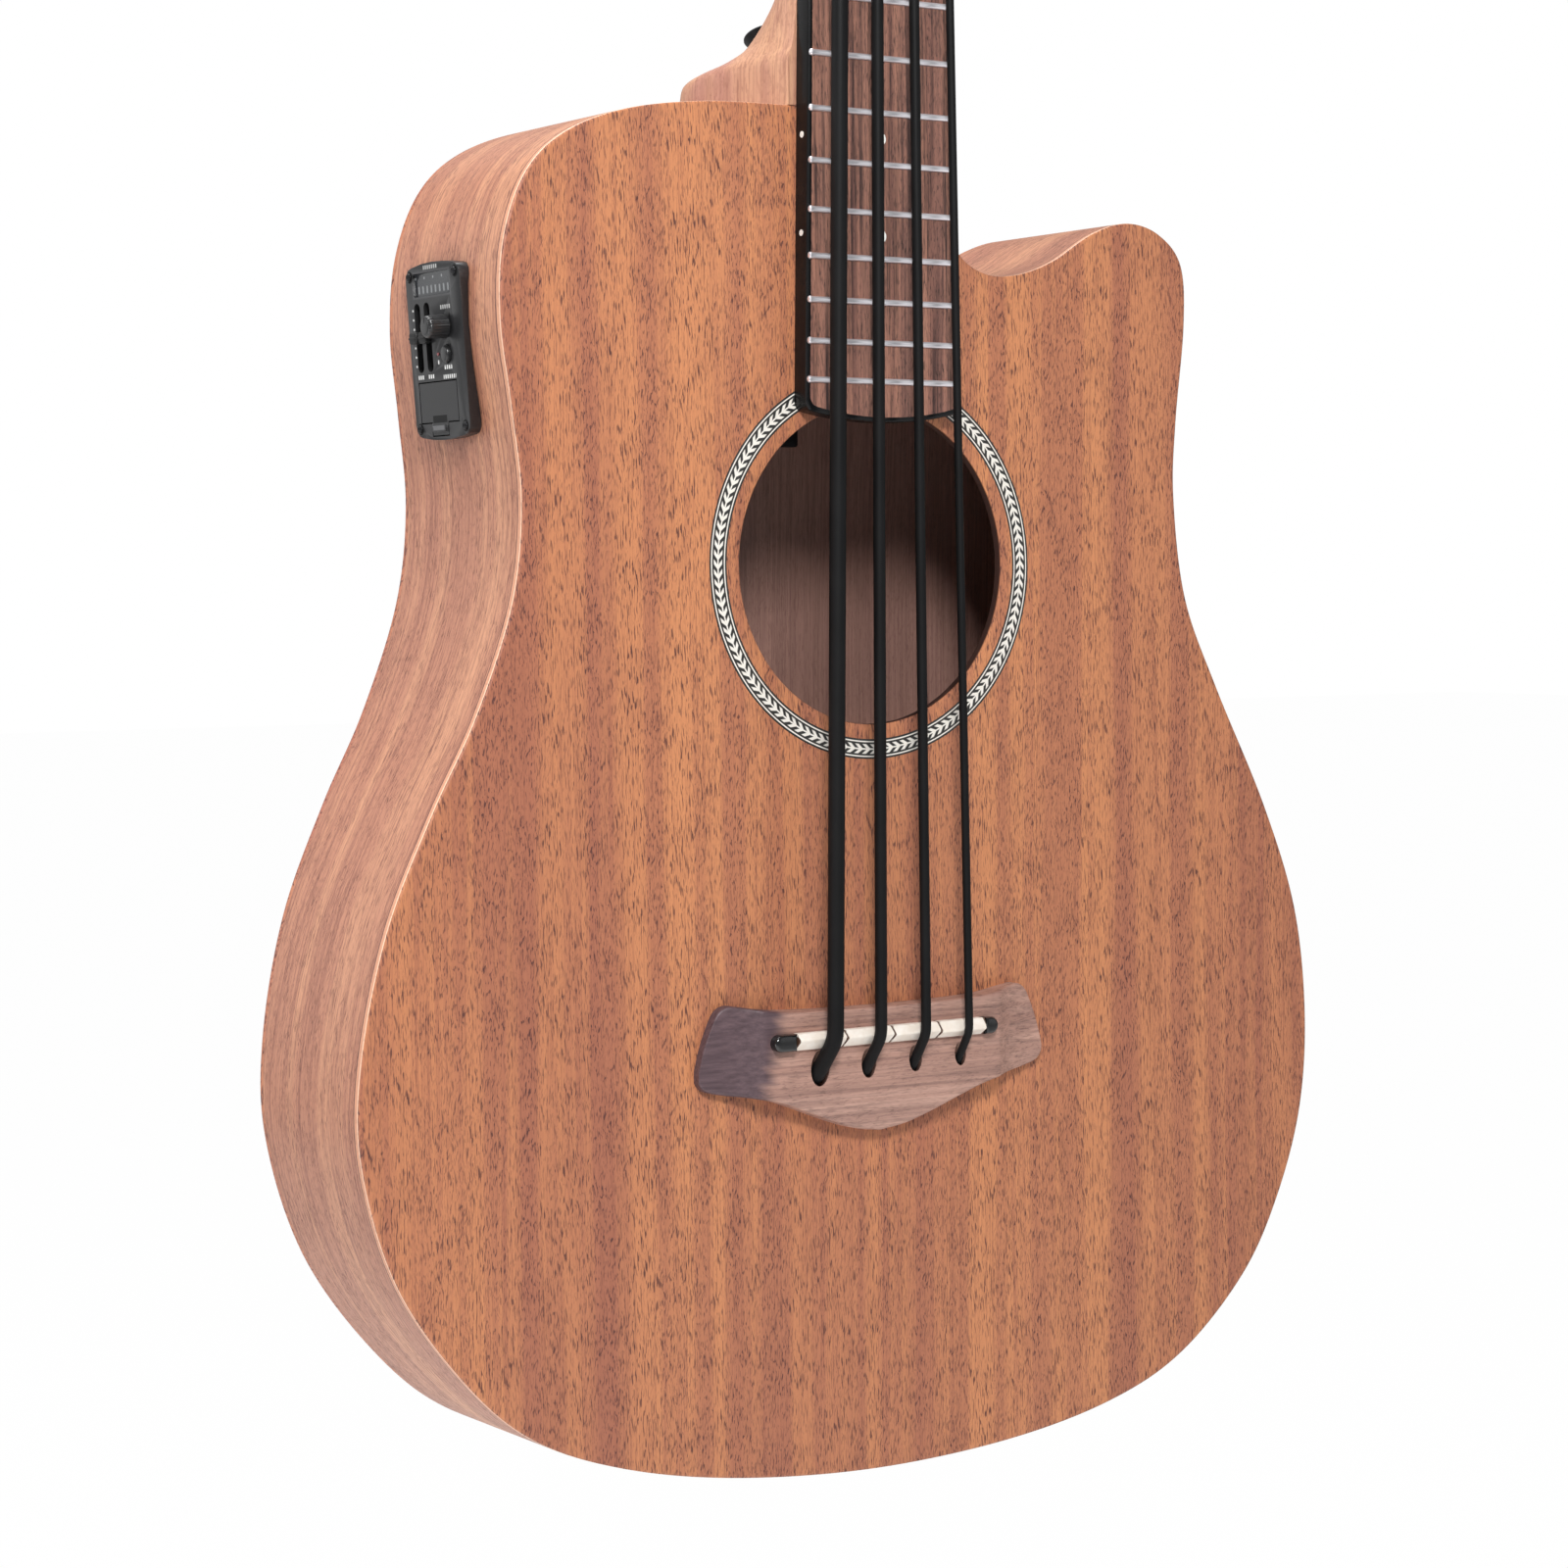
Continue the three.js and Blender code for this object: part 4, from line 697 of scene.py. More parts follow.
class Finish:
    """One material: its Principled shader and the nodes that feed it."""

    def __init__(self, name, **constants):
        self.material = bpy.data.materials.new(name)
        self.material.use_nodes = True
        self.tree = self.material.node_tree
        self.shader = self.tree.nodes["Principled BSDF"]
        self.set(**constants)

    def set(self, **values):
        """Feeds the shader's inputs, named in small letters, and gives back the material."""
        for name, value in values.items():
            self.feed(self.shader.inputs[name.replace("_", " ").title()], value)
        return self.material

    def feed(self, socket, value):
        """Links a wire to a socket, or writes a constant into it."""
        if isinstance(value, Wire):
            self.tree.links.new(value.socket, socket)
        else:
            socket.default_value = value

    def node(self, kind, settings, values, out=0):
        """Adds a node with its settings and inputs, and gives one output as a wire."""
        node = self.tree.nodes.new(kind)
        for name, value in settings.items():
            setattr(node, name, value)
        for key, value in values.items():
            self.feed(node.inputs[key], value)
        return Wire(self, node.outputs[out])

    def maths(self, operation, *values):
        """Math node of one operation on its values in order."""
        return self.node("ShaderNodeMath", {"operation": operation}, dict(enumerate(values)))

    def place(self, output="Object"):
        """Coordinates split into three wires, in metres."""
        source = self.node("ShaderNodeTexCoord", {}, {}, out=output)
        parts = self.node("ShaderNodeSeparateXYZ", {}, {0: source})
        outputs = parts.socket.node.outputs
        return [Wire(self, outputs[i]) for i in range(3)]

    def vector(self, x, y, z=0.0):
        """Three values joined into one vector."""
        return self.node("ShaderNodeCombineXYZ", {}, {0: x, 1: y, 2: z})

    def noise(self, vector, detail=2.0, roughness=0.5):
        """Noise of one wave per unit of the vector, around a half."""
        values = {"Vector": vector, "Scale": 1.0, "Detail": detail, "Roughness": roughness}
        return self.node("ShaderNodeTexNoise", {}, values)

    def speckle(self, place, rate, detail=2.0):
        """Even noise of so many waves per unit of the place."""
        return self.noise(self.vector(*(part * rate for part in place)), detail=detail)

    def mix(self, factor, first, second):
        """First colour at factor 0, second at 1."""
        settings = {"data_type": "RGBA", "blend_type": "MIX"}
        return self.node("ShaderNodeMix", settings, {0: factor, 6: first, 7: second}, out=2)

    def bump(self, height, depth, strength=1.0):
        """Normal of a relief: height 1 stands depth millimetres above height 0."""
        values = {"Strength": strength, "Distance": depth * MM, "Height": height}
        return self.node("ShaderNodeBump", {}, values)


def in_panel(finish):
    """Millimetres right, up and out from the panel's middle: dot products with its axes."""
    source = finish.node("ShaderNodeTexCoord", {}, {}, out="Object")
    origin = tuple(to_frame(PREAMP[:3, 3]))
    settings = {"operation": "SUBTRACT"}
    reach = finish.node("ShaderNodeVectorMath", settings, {0: source, 1: origin})
    settings = {"operation": "DOT_PRODUCT"}
    return [
        finish.node("ShaderNodeVectorMath", settings, {0: reach, 1: tuple(axis / MM)}, out=1)
        for axis in PREAMP[:3, :3].T
    ]


# The wood's figure: layers of noise, by their waves per metre across, along and through the grain
WAVER_RATES = (6, 2, 6)
WAVER_REACH = 0.014
BROAD_RATES = (17, 0.9, 17)
MOTTLE_RATES = (130, 60, 110)
SWIRL_RATES = (150, 110, 90)
RIBBON_RATES = (1.4, 46)
FIBRE_RATES = (12, 900)
DASH_RATES = (2200, 230, 900)
SPECK_RATES = (2200, 460, 900)

# How far a pore's row slants as it goes across, and wanders in the pale and the pink ribbons
PORE_SLANT = 570
DASH_SWIRL = 0.001
SPECK_SWIRL = 0.0035
PORE_DEPTH = 0.06

# The values of each layer between which it begins to count and counts in full
RIBBON_RISE = (0.4, 0.6)
BROAD_RISE = (0.35, 0.65)
CLUSTER_RISE = (0.35, 0.6)
MOTTLE_RISE = (0.45, 0.75)
FIBRE_RISE = (0.42, 0.72)
ZONE_RISE = (0.2, 0.8)
DASH_RISE = (0.56, 0.63)
SPECK_RISE = (0.57, 0.64)

# What each layer weighs
RIBBON_SHARE = 0.65
CLUSTER_SHARE = 0.5
MOTTLE_SHARE = 0.25
PORE_SHARE = 0.9
DASH_LOSS_SHARE = 0.4
SPECK_SHARES = (0.25, 0.7)

# Depths over which the edge strip's flank sets in, carries its painted highlight and meets its dark
# line
FLANK_START = (0.35, 0.7)
FLANK_PAINTED_HIGHLIGHT = (0.35, 0.8)
FLANK_LINE = (2.5, 2.65)

# The bridge's bass wing, painted dark and purple as shade and reflection: its border across, the
# border's lean and sway, and the sway's waves
WING_BORDER = (-38.0, -46.0)
WING_LEAN = 0.2
WING_SWAY = 9
WING_RATES = (30, 260)
WING_SLANT = 0.35

# Plain finishes: waves per metre of the cloud, the cream's cloud, the fine grain and the moulding
CLOUD_RATE = 60
CREAM_CLOUD_RATE = 300
GRAIN_RATE = 900
MOULDING_RATE = 1600

# Their cloud's rise and the gloss's sway with it, and the moulding's relief and its two tones
CLOUD_RISE = (0.35, 0.75)
GLOSS_SWAY = 0.12
MOULDING_DEPTH = 0.02
MOULDING_TONES = ((24, 24, 25), (38, 38, 40))


def wood(
    name, tones, grain, pores=1.0, streak=0.3, ribbons=60, fibres=1500, roughness=0.42, zone=None,
):
    """Ribbon-striped open-pored wood.

    tones are the pale, middle, dark and pore colours; grain gives the wires across, along and
    through. The figure is noise stretched along the grain; ribbons and fibres are waves per metre
    across it. In the pale ribbons the pores are long dashes, in the others short ones that wander
    sideways. zone gives a wire that is 1 in a part of the piece, and the two tones and the share
    of pores there.
    """
    finish = Finish(name)
    across, along, through = grain(finish)
    pale, middle, dark, pore = (paint(*tone) for tone in tones)

    def layer(wide, rates, shift=0.0, slant=0.0, **detail):
        """Noise at the layer's rates, moved through the grain by a shift, along it by a slant."""
        place = finish.vector(
            wide * rates[0], along * rates[1] + slant, through * rates[2] + shift,
        )
        return finish.noise(place, **detail)

    bent = across + (layer(across, WAVER_RATES) - 0.5) * WAVER_REACH
    ribbon = layer(bent, (ribbons, *RIBBON_RATES), detail=4, roughness=0.62)
    broad = layer(bent, BROAD_RATES, shift=7, detail=1)
    mottle = layer(bent, MOTTLE_RATES, detail=4, roughness=0.6)
    fibre = layer(bent, (fibres, *FIBRE_RATES), detail=4, roughness=0.65)
    swirl = layer(bent, SWIRL_RATES, shift=2) - 0.5
    slant = bent * PORE_SLANT
    dashes = layer(bent + swirl * DASH_SWIRL, DASH_RATES, slant=slant, detail=1)
    specks = layer(bent + swirl * SPECK_SWIRL, SPECK_RATES, shift=4, slant=slant * -1, detail=1)

    pinkish = ribbon.rise(*RIBBON_RISE)
    tone = pinkish * RIBBON_SHARE + broad.rise(*BROAD_RISE) * (1 - RIBBON_SHARE)
    cluster = mottle.rise(*CLUSTER_RISE) * CLUSTER_SHARE + (1 - CLUSTER_SHARE)
    least, more = SPECK_SHARES
    marks = dashes.rise(*DASH_RISE) * (1 - pinkish * DASH_LOSS_SHARE)
    marks = marks + specks.rise(*SPECK_RISE) * (least + pinkish * more)
    marks = finish.maths("MINIMUM", marks * cluster * pores, 1.0)

    colour = finish.mix(tone, pale, middle)
    colour = finish.mix(mottle.rise(*MOTTLE_RISE) * MOTTLE_SHARE, colour, dark)
    colour = finish.mix(fibre.rise(*FIBRE_RISE) * streak, colour, dark)
    if zone:
        inside, first, second, share = zone(finish)
        colour = finish.mix(inside, colour, finish.mix(fibre.rise(*ZONE_RISE), first, second))
        marks = marks * (1 - inside * (1 - share))
    colour = finish.mix(marks * PORE_SHARE, colour, pore)
    return finish.set(
        base_color=colour, roughness=roughness + (fibre - 0.5) * GLOSS_SWAY + marks * 0.2,
        normal=finish.bump(1 - marks, PORE_DEPTH, strength=0.6),
    )


def upright(finish):
    """Grain that runs up the piece: across is x, along is z, through is y."""
    x, y, z = finish.place()
    return x, z, y


def crosswise(finish):
    """Grain that runs from side to side: across is z, along is x, through is y."""
    x, y, z = finish.place()
    return z, x, y


def along_pattern(finish):
    """Grain that runs with the piece's own pattern: its first place is along, its second across."""
    u, v, _ = finish.place("UV")
    return v, u, v * 0.5


def painted_shade_inside(finish):
    """Painted shade on the hole's wall and the top's inner face, where the pattern's first place is
    1.
    """
    inside, _, _ = finish.place("UV")
    return inside, paint(70, 48, 42), paint(56, 38, 34), 0.3


def raw_inside(finish):
    """The back's inner face, where the pattern's first place is 1."""
    inside, _, _ = finish.place("UV")
    return inside, paint(184, 142, 128), paint(142, 106, 97), 0.3


def pale_flank_with_highlight(finish):
    """The edge's outer flank is pale, with a painted highlight along its rim; a dark line ends it
    at the side.
    """
    _, y, _ = finish.place()
    depth = y / MM
    # Painted highlight: a light line along the rim of the flank
    painted_highlight = depth.inside(*FLANK_PAINTED_HIGHLIGHT, 0.1)
    flank = finish.mix(painted_highlight, paint(208, 150, 120), paint(255, 222, 194))
    flank = finish.mix(depth.rise(*FLANK_LINE), flank, paint(84, 52, 44))
    return depth.rise(*FLANK_START), flank, flank, 0.2


def wing_painted_shade(finish):
    """Painted shade and a painted purple reflection on the bridge's scooped bass wing, beyond a
    leaning line that wavers with the grain.
    """
    x, _, z = finish.place()
    across, along = WING_RATES
    wave = finish.noise(finish.vector(x * across, (z + x * WING_SLANT) * along), detail=3)
    line = x / MM - (z / MM + SCALE_LENGTH) * WING_LEAN + (wave - 0.5) * WING_SWAY
    return line.rise(*WING_BORDER), paint(104, 83, 88), paint(68, 51, 57), 0.4


def plain(
    name, tone, roughness, grain=0.0, rate=GRAIN_RATE, metallic=0.0, coat=0.0, wear=0.06, ior=1.5,
):
    """Even finish with a faint cloud in its tone and gloss, and a grain some millimetres deep."""
    finish = Finish(name, metallic=metallic, coat_weight=coat, coat_roughness=0.15)
    finish.shader.inputs["IOR"].default_value = ior
    place = finish.place()
    cloud = finish.speckle(place, CLOUD_RATE, detail=3)
    colour = paint(*tone)
    lighter = tuple(min(1.0, c * (1 + 2 * wear) + wear * 0.02) for c in colour[:3]) + (1.0,)
    if grain:
        finish.set(normal=finish.bump(finish.speckle(place, rate), grain))
    return finish.set(
        base_color=finish.mix(cloud.rise(*CLOUD_RISE), colour, lighter),
        roughness=roughness + (cloud - 0.5) * GLOSS_SWAY,
    )


def rosette_finish():
    """Rings by radius; in the middle band, leaves whose ribs lean back from a stem."""
    finish = Finish("rosette_inlay_work", coat_roughness=0.3)
    x, _, z = finish.place()
    z = z - (HOLE_HEIGHT - SCALE_LENGTH) * MM
    radius = x.length_with(z) / MM
    turn = finish.maths("ARCTAN2", z, x) / (2 * math.pi)
    band = abs(radius - (ROSETTE_OUTER - ROSETTE_WIDTH / 2))
    step = (turn * LEAF_COUNT + band * LEAF_LEAN).fract()
    leaf = step.inside(*LEAF_SHARES, 0.05) * band.rise(*LEAF_EDGE)
    white = leaf.most(band.rise(*STEM_EDGE)).most(band.inside(*LINE_BAND, 0.05))
    speck = finish.speckle((x, z), GRAIN_RATE)
    ivory = finish.mix(speck, paint(226, 220, 210), paint(244, 240, 232))
    ebony = finish.mix(speck, paint(30, 29, 28), paint(52, 50, 48))
    return finish.set(base_color=finish.mix(white, ebony, ivory), roughness=0.4)


def saddle_finish():
    """Cream, with a brown line bent at the crest over each joint between two segments."""
    finish = Finish("saddle_cream")
    x, y, z = finish.place()
    bend = abs(z / MM + SCALE_LENGTH - SADDLE_HEIGHT) * SADDLE_LINE_BEND
    pitch = 2 * SADDLE_HALF_LENGTH / len(STRINGS)
    joints = (x / MM + bend - SADDLE_SHIFT - SADDLE_LINE_SHIFT) / pitch + len(STRINGS)
    line = abs(joints.fract() - 0.5).rise(0.473, 0.486)
    cloud = finish.speckle((x, y, z), CREAM_CLOUD_RATE, detail=3)
    cream = finish.mix(cloud.rise(0.3, 0.7), paint(250, 242, 232), paint(240, 228, 214))
    return finish.set(base_color=finish.mix(line, cream, paint(96, 68, 54)), roughness=0.34)


def panel_finish():
    """Moulded black with rows of white ticks, painted shade round the screws and along the slots,
    and a dim display.

    Rows repeat as the part behind the point of a height over a pitch, each mark is the product of
    a band across and a band up, and a pit is a distance from its middle below the pit's radius.
    """
    finish = Finish("preamp_moulding")
    u, v, w = in_panel(finish)
    speck = finish.speckle(finish.place(), MOULDING_RATE)
    face = w.rise(PANEL_RISE - 0.4, PANEL_RISE - 0.1)
    sunk = w.rise(PANEL_RISE - 0.5, PANEL_RISE - 0.7)

    rows = ((v - SLOT_HEIGHT) / TICK_PITCH + 0.5).fract().inside(0.4, 0.6, 0.06)
    ticks = rows * v.inside(SLOT_HEIGHT - TICK_REACH, SLOT_HEIGHT + TICK_REACH, 0.1)
    strokes = ((u + LABEL_SHIFT) / LABEL_PITCH).fract().inside(0.2, 0.76, 0.12)
    labels = sum(
        u.inside(right - long / 2, right + long / 2, 0.1)
        * v.inside(up - LABEL_HALF_HEIGHT, up + LABEL_HALF_HEIGHT, 0.15)
        for right, up, long in LABEL_PLACES
    )
    marks = ticks * u.inside(*TICK_ENDS, 0.08) + strokes * labels

    display = sunk * u.inside(*WINDOW_SIDES, 0.05) * v.inside(*WINDOW_ENDS, 0.05)
    (left, right), (low, high) = WINDOW_SIDES, WINDOW_ENDS
    brim = face * u.inside(left - WINDOW_BRIM, right + WINDOW_BRIM, 0.1)
    brim = brim * v.inside(low - WINDOW_BRIM, high + WINDOW_BRIM, 0.1)
    bars = ((u + DISPLAY_SHIFT) / BAR_PITCH).fract().inside(0.3, 0.62, 0.12)
    points = ((u + DISPLAY_SHIFT) / POINT_PITCH + 0.5).fract().inside(0.44, 0.56, 0.04)
    lit = bars * v.inside(*BAR_ENDS, 0.25) * 0.7 + points * v.inside(*POINT_ENDS, 0.15)

    # Painted shade: near black round each screw's recess and along each slider's slot
    wide, narrow = SCREW_RING
    painted_pit_shade = sum(
        (u - right).length_with(v - up).rise(SCREW_RADIUS + wide, SCREW_RADIUS + narrow)
        for right, up in SCREW_PLACES
    )
    beyond = abs(v - SLOT_HEIGHT).most(SLOT_REACH) - SLOT_REACH
    painted_pit_shade = painted_pit_shade + sum(
        (u - right).length_with(beyond).rise(*SLOT_SHADE) for right in SLOT_PLACES.values()
    )

    black = finish.mix(speck, *(paint(*tone) for tone in MOULDING_TONES))
    black = finish.mix(brim, black, paint(66, 66, 68))
    black = finish.mix(painted_pit_shade, black, paint(2, 2, 3))
    glass = finish.mix(lit, paint(50, 52, 55), paint(150, 152, 154))
    colour = finish.mix(display, black, glass)
    return finish.set(
        base_color=finish.mix(marks * face, colour, paint(226, 226, 224)),
        roughness=0.34 - display * 0.2 + painted_pit_shade * 0.5,
        normal=finish.bump(speck * (1 - display), MOULDING_DEPTH),
    )


def door_finish():
    """The hatch's moulding, with painted shade in its thumb recess and a painted highlight on the
    tab below it.
    """
    finish = Finish("hatch_moulding")
    u, v, w = in_panel(finish)
    speck = finish.speckle((u, v, w), MOULDING_RATE * MM)
    aside = abs(u + THUMB_SHIFT)
    # Painted shade in the thumb recess, and a painted highlight on the tab below it
    recess_painted_shade = aside.rise(*NOTCH_HALF_WIDTH) * v.inside(*NOTCH_ENDS, 0.1)
    tab_painted_highlight = aside.rise(*LIP_HALF_WIDTH) * v.inside(*LIP_ENDS, 0.15)
    black = finish.mix(speck, *(paint(*tone) for tone in MOULDING_TONES))
    black = finish.mix(recess_painted_shade, black, paint(5, 5, 6))
    return finish.set(
        base_color=finish.mix(tab_painted_highlight, black, paint(92, 92, 94)),
        roughness=0.34 + speck * 0.06 + recess_painted_shade * 0.5,
        normal=finish.bump(speck, MOULDING_DEPTH),
    )


# Pale, middle, dark and pore tones of each timber
top_tones = ((208, 138, 93), (169, 105, 80), (138, 80, 62), (72, 36, 38))
back_tones = ((200, 130, 90), (172, 106, 84), (144, 84, 66), (84, 46, 44))
side_tones = ((209, 152, 118), (176, 118, 95), (134, 83, 68), (98, 58, 50))
neck_tones = ((214, 166, 130), (190, 137, 118), (154, 102, 82), (142, 92, 76))
board_tones = ((172, 122, 102), (118, 80, 72), (48, 31, 31), (38, 25, 25))
bridge_tones = ((196, 156, 140), (168, 128, 114), (98, 72, 68), (84, 60, 56))
inner_tones = ((176, 136, 108), (160, 120, 96), (136, 98, 78), (110, 76, 60))
brace_tones = ((206, 176, 134), (192, 158, 116), (170, 134, 94), (160, 122, 84))

# The top's hole wall and inner face are painted dark as shade
mahogany_top = wood("mahogany_top", top_tones, upright, streak=0.4, ribbons=85, zone=painted_shade_inside)
# The edge strip's flank carries a painted highlight along its rim
top_edge = wood("mahogany_top_edge", top_tones, upright, streak=0.4, ribbons=85, zone=pale_flank_with_highlight)
mahogany_back = wood("mahogany_back", back_tones, upright, zone=raw_inside)
mahogany_side = wood(
    "mahogany_side", side_tones, along_pattern, pores=0.7, streak=0.8, fibres=1000,
)
neck_wood = wood(
    "neck_timber", neck_tones, upright, pores=0.4, streak=0.75, ribbons=150, fibres=900,
)
board_wood = wood(
    "board_timber", board_tones, upright, pores=0.7, streak=1.0, ribbons=300, fibres=700,
    roughness=0.5,
)
# The bridge's bass wing carries painted shade and a painted purple reflection
bridge_wood = wood(
    "bridge_walnut", bridge_tones, crosswise, pores=0.4, streak=0.5, ribbons=220, fibres=800,
    roughness=0.45, zone=wing_painted_shade,
)
inner_wood = wood("inner_timber", inner_tones, upright, pores=0.4, roughness=0.7)
brace_wood = wood("brace_spruce", brace_tones, crosswise, pores=0.2, roughness=0.7)
rosette_inlay = rosette_finish()
black_edge = plain("black_binding", (15, 15, 16), 0.26, wear=0.1, ior=1.35)
string_rubber = plain("string_rubber", (17, 17, 18), 0.55, grain=0.02, rate=1400, ior=1.25)
fret_silver = plain("fret_silver", (236, 233, 238), 0.3, metallic=0.75, grain=0.01)
nut_cream = plain("nut_cream", (240, 230, 214), 0.36, grain=0.01, wear=0.03)
saddle_cream = saddle_finish()
gloss_black = plain("gloss_black", (16, 16, 17), 0.12, coat=0.6)
pearl = plain("inlay_pearl", (238, 238, 232), 0.2, coat=0.5, wear=0.02)
moulded_black = plain("moulded_black", (22, 22, 24), 0.38, grain=0.03, rate=MOULDING_RATE)
control_black = plain("control_black", (26, 26, 27), 0.32, coat=0.25)
slider_black = plain("slider_black", (10, 10, 11), 0.55, grain=0.02)
black_plate = plain("black_plate", (28, 28, 30), 0.3, metallic=0.6)
post_steel = plain("post_steel", (200, 200, 204), 0.18, metallic=1.0)
plain_steel = plain("plain_steel", (176, 178, 182), 0.35, metallic=1.0)
braid_brass = plain("pickup_braid", (196, 160, 96), 0.35, metallic=1.0, grain=0.05, rate=2600)
red_lens = plain("indicator_lens", (120, 62, 64), 0.2, coat=0.3)


# Body --------------------------------------------------------------------------------------

def body_outline():
    """Closed outline from the neck joint down the bass side, round the tail and up the cutaway."""
    control = [(-x, z) for x, z in BASS_SHARES] + [(0, 0)] + TREBLE_SHARES
    size = (BODY_HALF_WIDTH, BODY_LENGTH)
    return catmull(np.array(control) * size + (0, TAIL_HEIGHT), SPAN_STEPS)


def back_at(xz):
    """Depth of the arched back's outer face: a paraboloid about the middle of the arch."""
    x, z = xz[..., 0], xz[..., 1]
    return BACK_DEPTH - (x ** 2 + (z - BACK_ARCH_HEIGHT) ** 2) / (2 * BACK_ARCH_RADIUS)


def standing(xz, y):
    """Points of an outline at given depths."""
    return np.stack([xz[..., 0], np.broadcast_to(y, xz.shape[:-1]), xz[..., 1]], axis=-1)


OUTLINE = body_outline()
TAIL_INDEX = len(BASS_SHARES) * SPAN_STEPS
HOLE_CENTRE = np.array([0, HOLE_HEIGHT])


def soundboard_form():
    """Ring of rays from the hole's edge to the rim, stepped down for the rosette's groove.

    Its pattern is 1 on the hole's wall and the inner face, which are painted dark as shade, and 0
    outside.
    """
    rim = inset(OUTLINE, BINDING_WIDTH)
    ray = unit(rim - HOLE_CENTRE)
    inner = ROSETTE_OUTER - ROSETTE_WIDTH
    ease = HOLE_EASE * HOLE_EASE_SHARE
    steps = [
        (HOLE_RADIUS, TOP_THICKNESS), (HOLE_RADIUS, HOLE_EASE), (HOLE_RADIUS + ease, ease),
        (HOLE_RADIUS + HOLE_EASE, 0.0), (inner, 0.0), (inner, ROSETTE_DEPTH),
        (ROSETTE_OUTER, ROSETTE_DEPTH), (ROSETTE_OUTER, 0.0),
    ]
    rings = [standing(HOLE_CENTRE + ray * radius, y) for radius, y in steps]
    rings = np.array([*rings, standing(rim, 0.0), standing(rim, TOP_THICKNESS)])
    # The hole's wall and the inner face get the painted shade
    dark = np.zeros((*rings.shape[:2], 2))
    dark[[0, 1, -1]] = 1 / MM
    return skin(rings, looped=True, pattern=dark)


def ring_form(outer, inner, profile):
    """Strip between two outlines of equal count; profile gives the share inwards and the depth."""
    rings = [standing(outer + (inner - outer) * share, y) for share, y in profile]
    return skin(rings, looped=True)


def rosette_form():
    """Flat ring between two circles, as deep as its groove."""
    outer = circle(ROSETTE_OUTER - HAIR, 0, HOLE_HEIGHT, ROSETTE_STEPS)
    inner = circle(ROSETTE_OUTER - ROSETTE_WIDTH + HAIR, 0, HOLE_HEIGHT, ROSETTE_STEPS)
    return ring_form(outer, inner, [(0, ROSETTE_DEPTH), (0, 0), (1, 0), (1, ROSETTE_DEPTH)])


def binding_form():
    """Edge strip whose outer corner is a quarter of an ellipse."""
    inner = inset(OUTLINE, BINDING_WIDTH)
    corner = quarter(*BINDING_CORNER)
    return ring_form(OUTLINE, inner, [(0, TOP_THICKNESS), *corner, (1, 0), (1, TOP_THICKNESS)])


def side_form(side):
    """Bent side from the joint's middle to the tail's; its pattern is arc by depth."""
    inner = inset(OUTLINE, SIDE_THICKNESS)
    chosen = slice(0, TAIL_INDEX + 1) if side < 0 else slice(TAIL_INDEX, None)
    outer, inner = OUTLINE[chosen], inner[chosen]
    joint = np.array([[side * SIDE_START, JOINT_HEIGHT]])
    joint_in = joint - (0, SIDE_THICKNESS)
    outer = np.vstack([joint, outer] if side < 0 else [outer, joint])
    inner = np.vstack([joint_in, inner] if side < 0 else [inner, joint_in])
    walls = [
        (outer, TOP_THICKNESS), (outer, back_at(outer) - BACK_THICKNESS),
        (inner, back_at(inner) - BACK_THICKNESS), (inner, TOP_THICKNESS),
    ]
    rings = np.stack([standing(xz, y) for xz, y in walls], axis=1)
    steps = np.linalg.norm(np.diff(outer, axis=0), axis=1)
    arc = np.concatenate([[0], np.cumsum(steps)])
    along = np.broadcast_to(arc[:, None], rings.shape[:2])
    return skin(rings, pattern=np.stack([along, rings[:, :, 1]], axis=-1))


def back_form():
    """Arched plate: the rim eased by a quarter circle, then rings drawn in to the arch's middle.

    Its pattern is 1 on the inner face, which is raw wood, and 0 outside.
    """
    middle = np.array([0, BACK_ARCH_HEIGHT])
    drawn = inset(OUTLINE, BACK_RING_INSET)
    inner = [middle + (drawn - middle) * share for share in BACK_INNER_SHARES[::-1]]
    outer = [middle + (drawn - middle) * share for share in BACK_OUTER_SHARES]
    corner = quarter(BACK_ROUND, BACK_ROUND)
    rim = [(inset(OUTLINE, distance), drop) for distance, drop in corner]
    rings = np.array([
        *(standing(ring, back_at(ring) - BACK_THICKNESS) for ring in [*inner, OUTLINE]),
        *(standing(ring, back_at(ring) - drop) for ring, drop in rim),
        *(standing(ring, back_at(ring)) for ring in outer),
    ])
    raw = np.zeros((*rings.shape[:2], 2))
    raw[: len(inner)] = 1 / MM
    return skin(rings, pattern=raw)


def preamp_place():
    """Frame of the preamp: right towards the face, up along the side's chord, out of the side."""
    height, half = OUTLINE[TAIL_INDEX::-1, 1], OUTLINE[TAIL_INDEX::-1, 0]
    middle, low, high = (
        np.interp(PREAMP_HEIGHT + reach, height, half)
        for reach in (0, -PANEL_LENGTH / 2, PANEL_LENGTH / 2)
    )
    lean = math.atan2(high - low, PANEL_LENGTH)
    right, up = (0, -1, 0), (math.sin(lean), 0, math.cos(lean))
    return basis(right, up, np.cross(right, up), (middle, PREAMP_DEPTH, PREAMP_HEIGHT))


PREAMP = preamp_place()

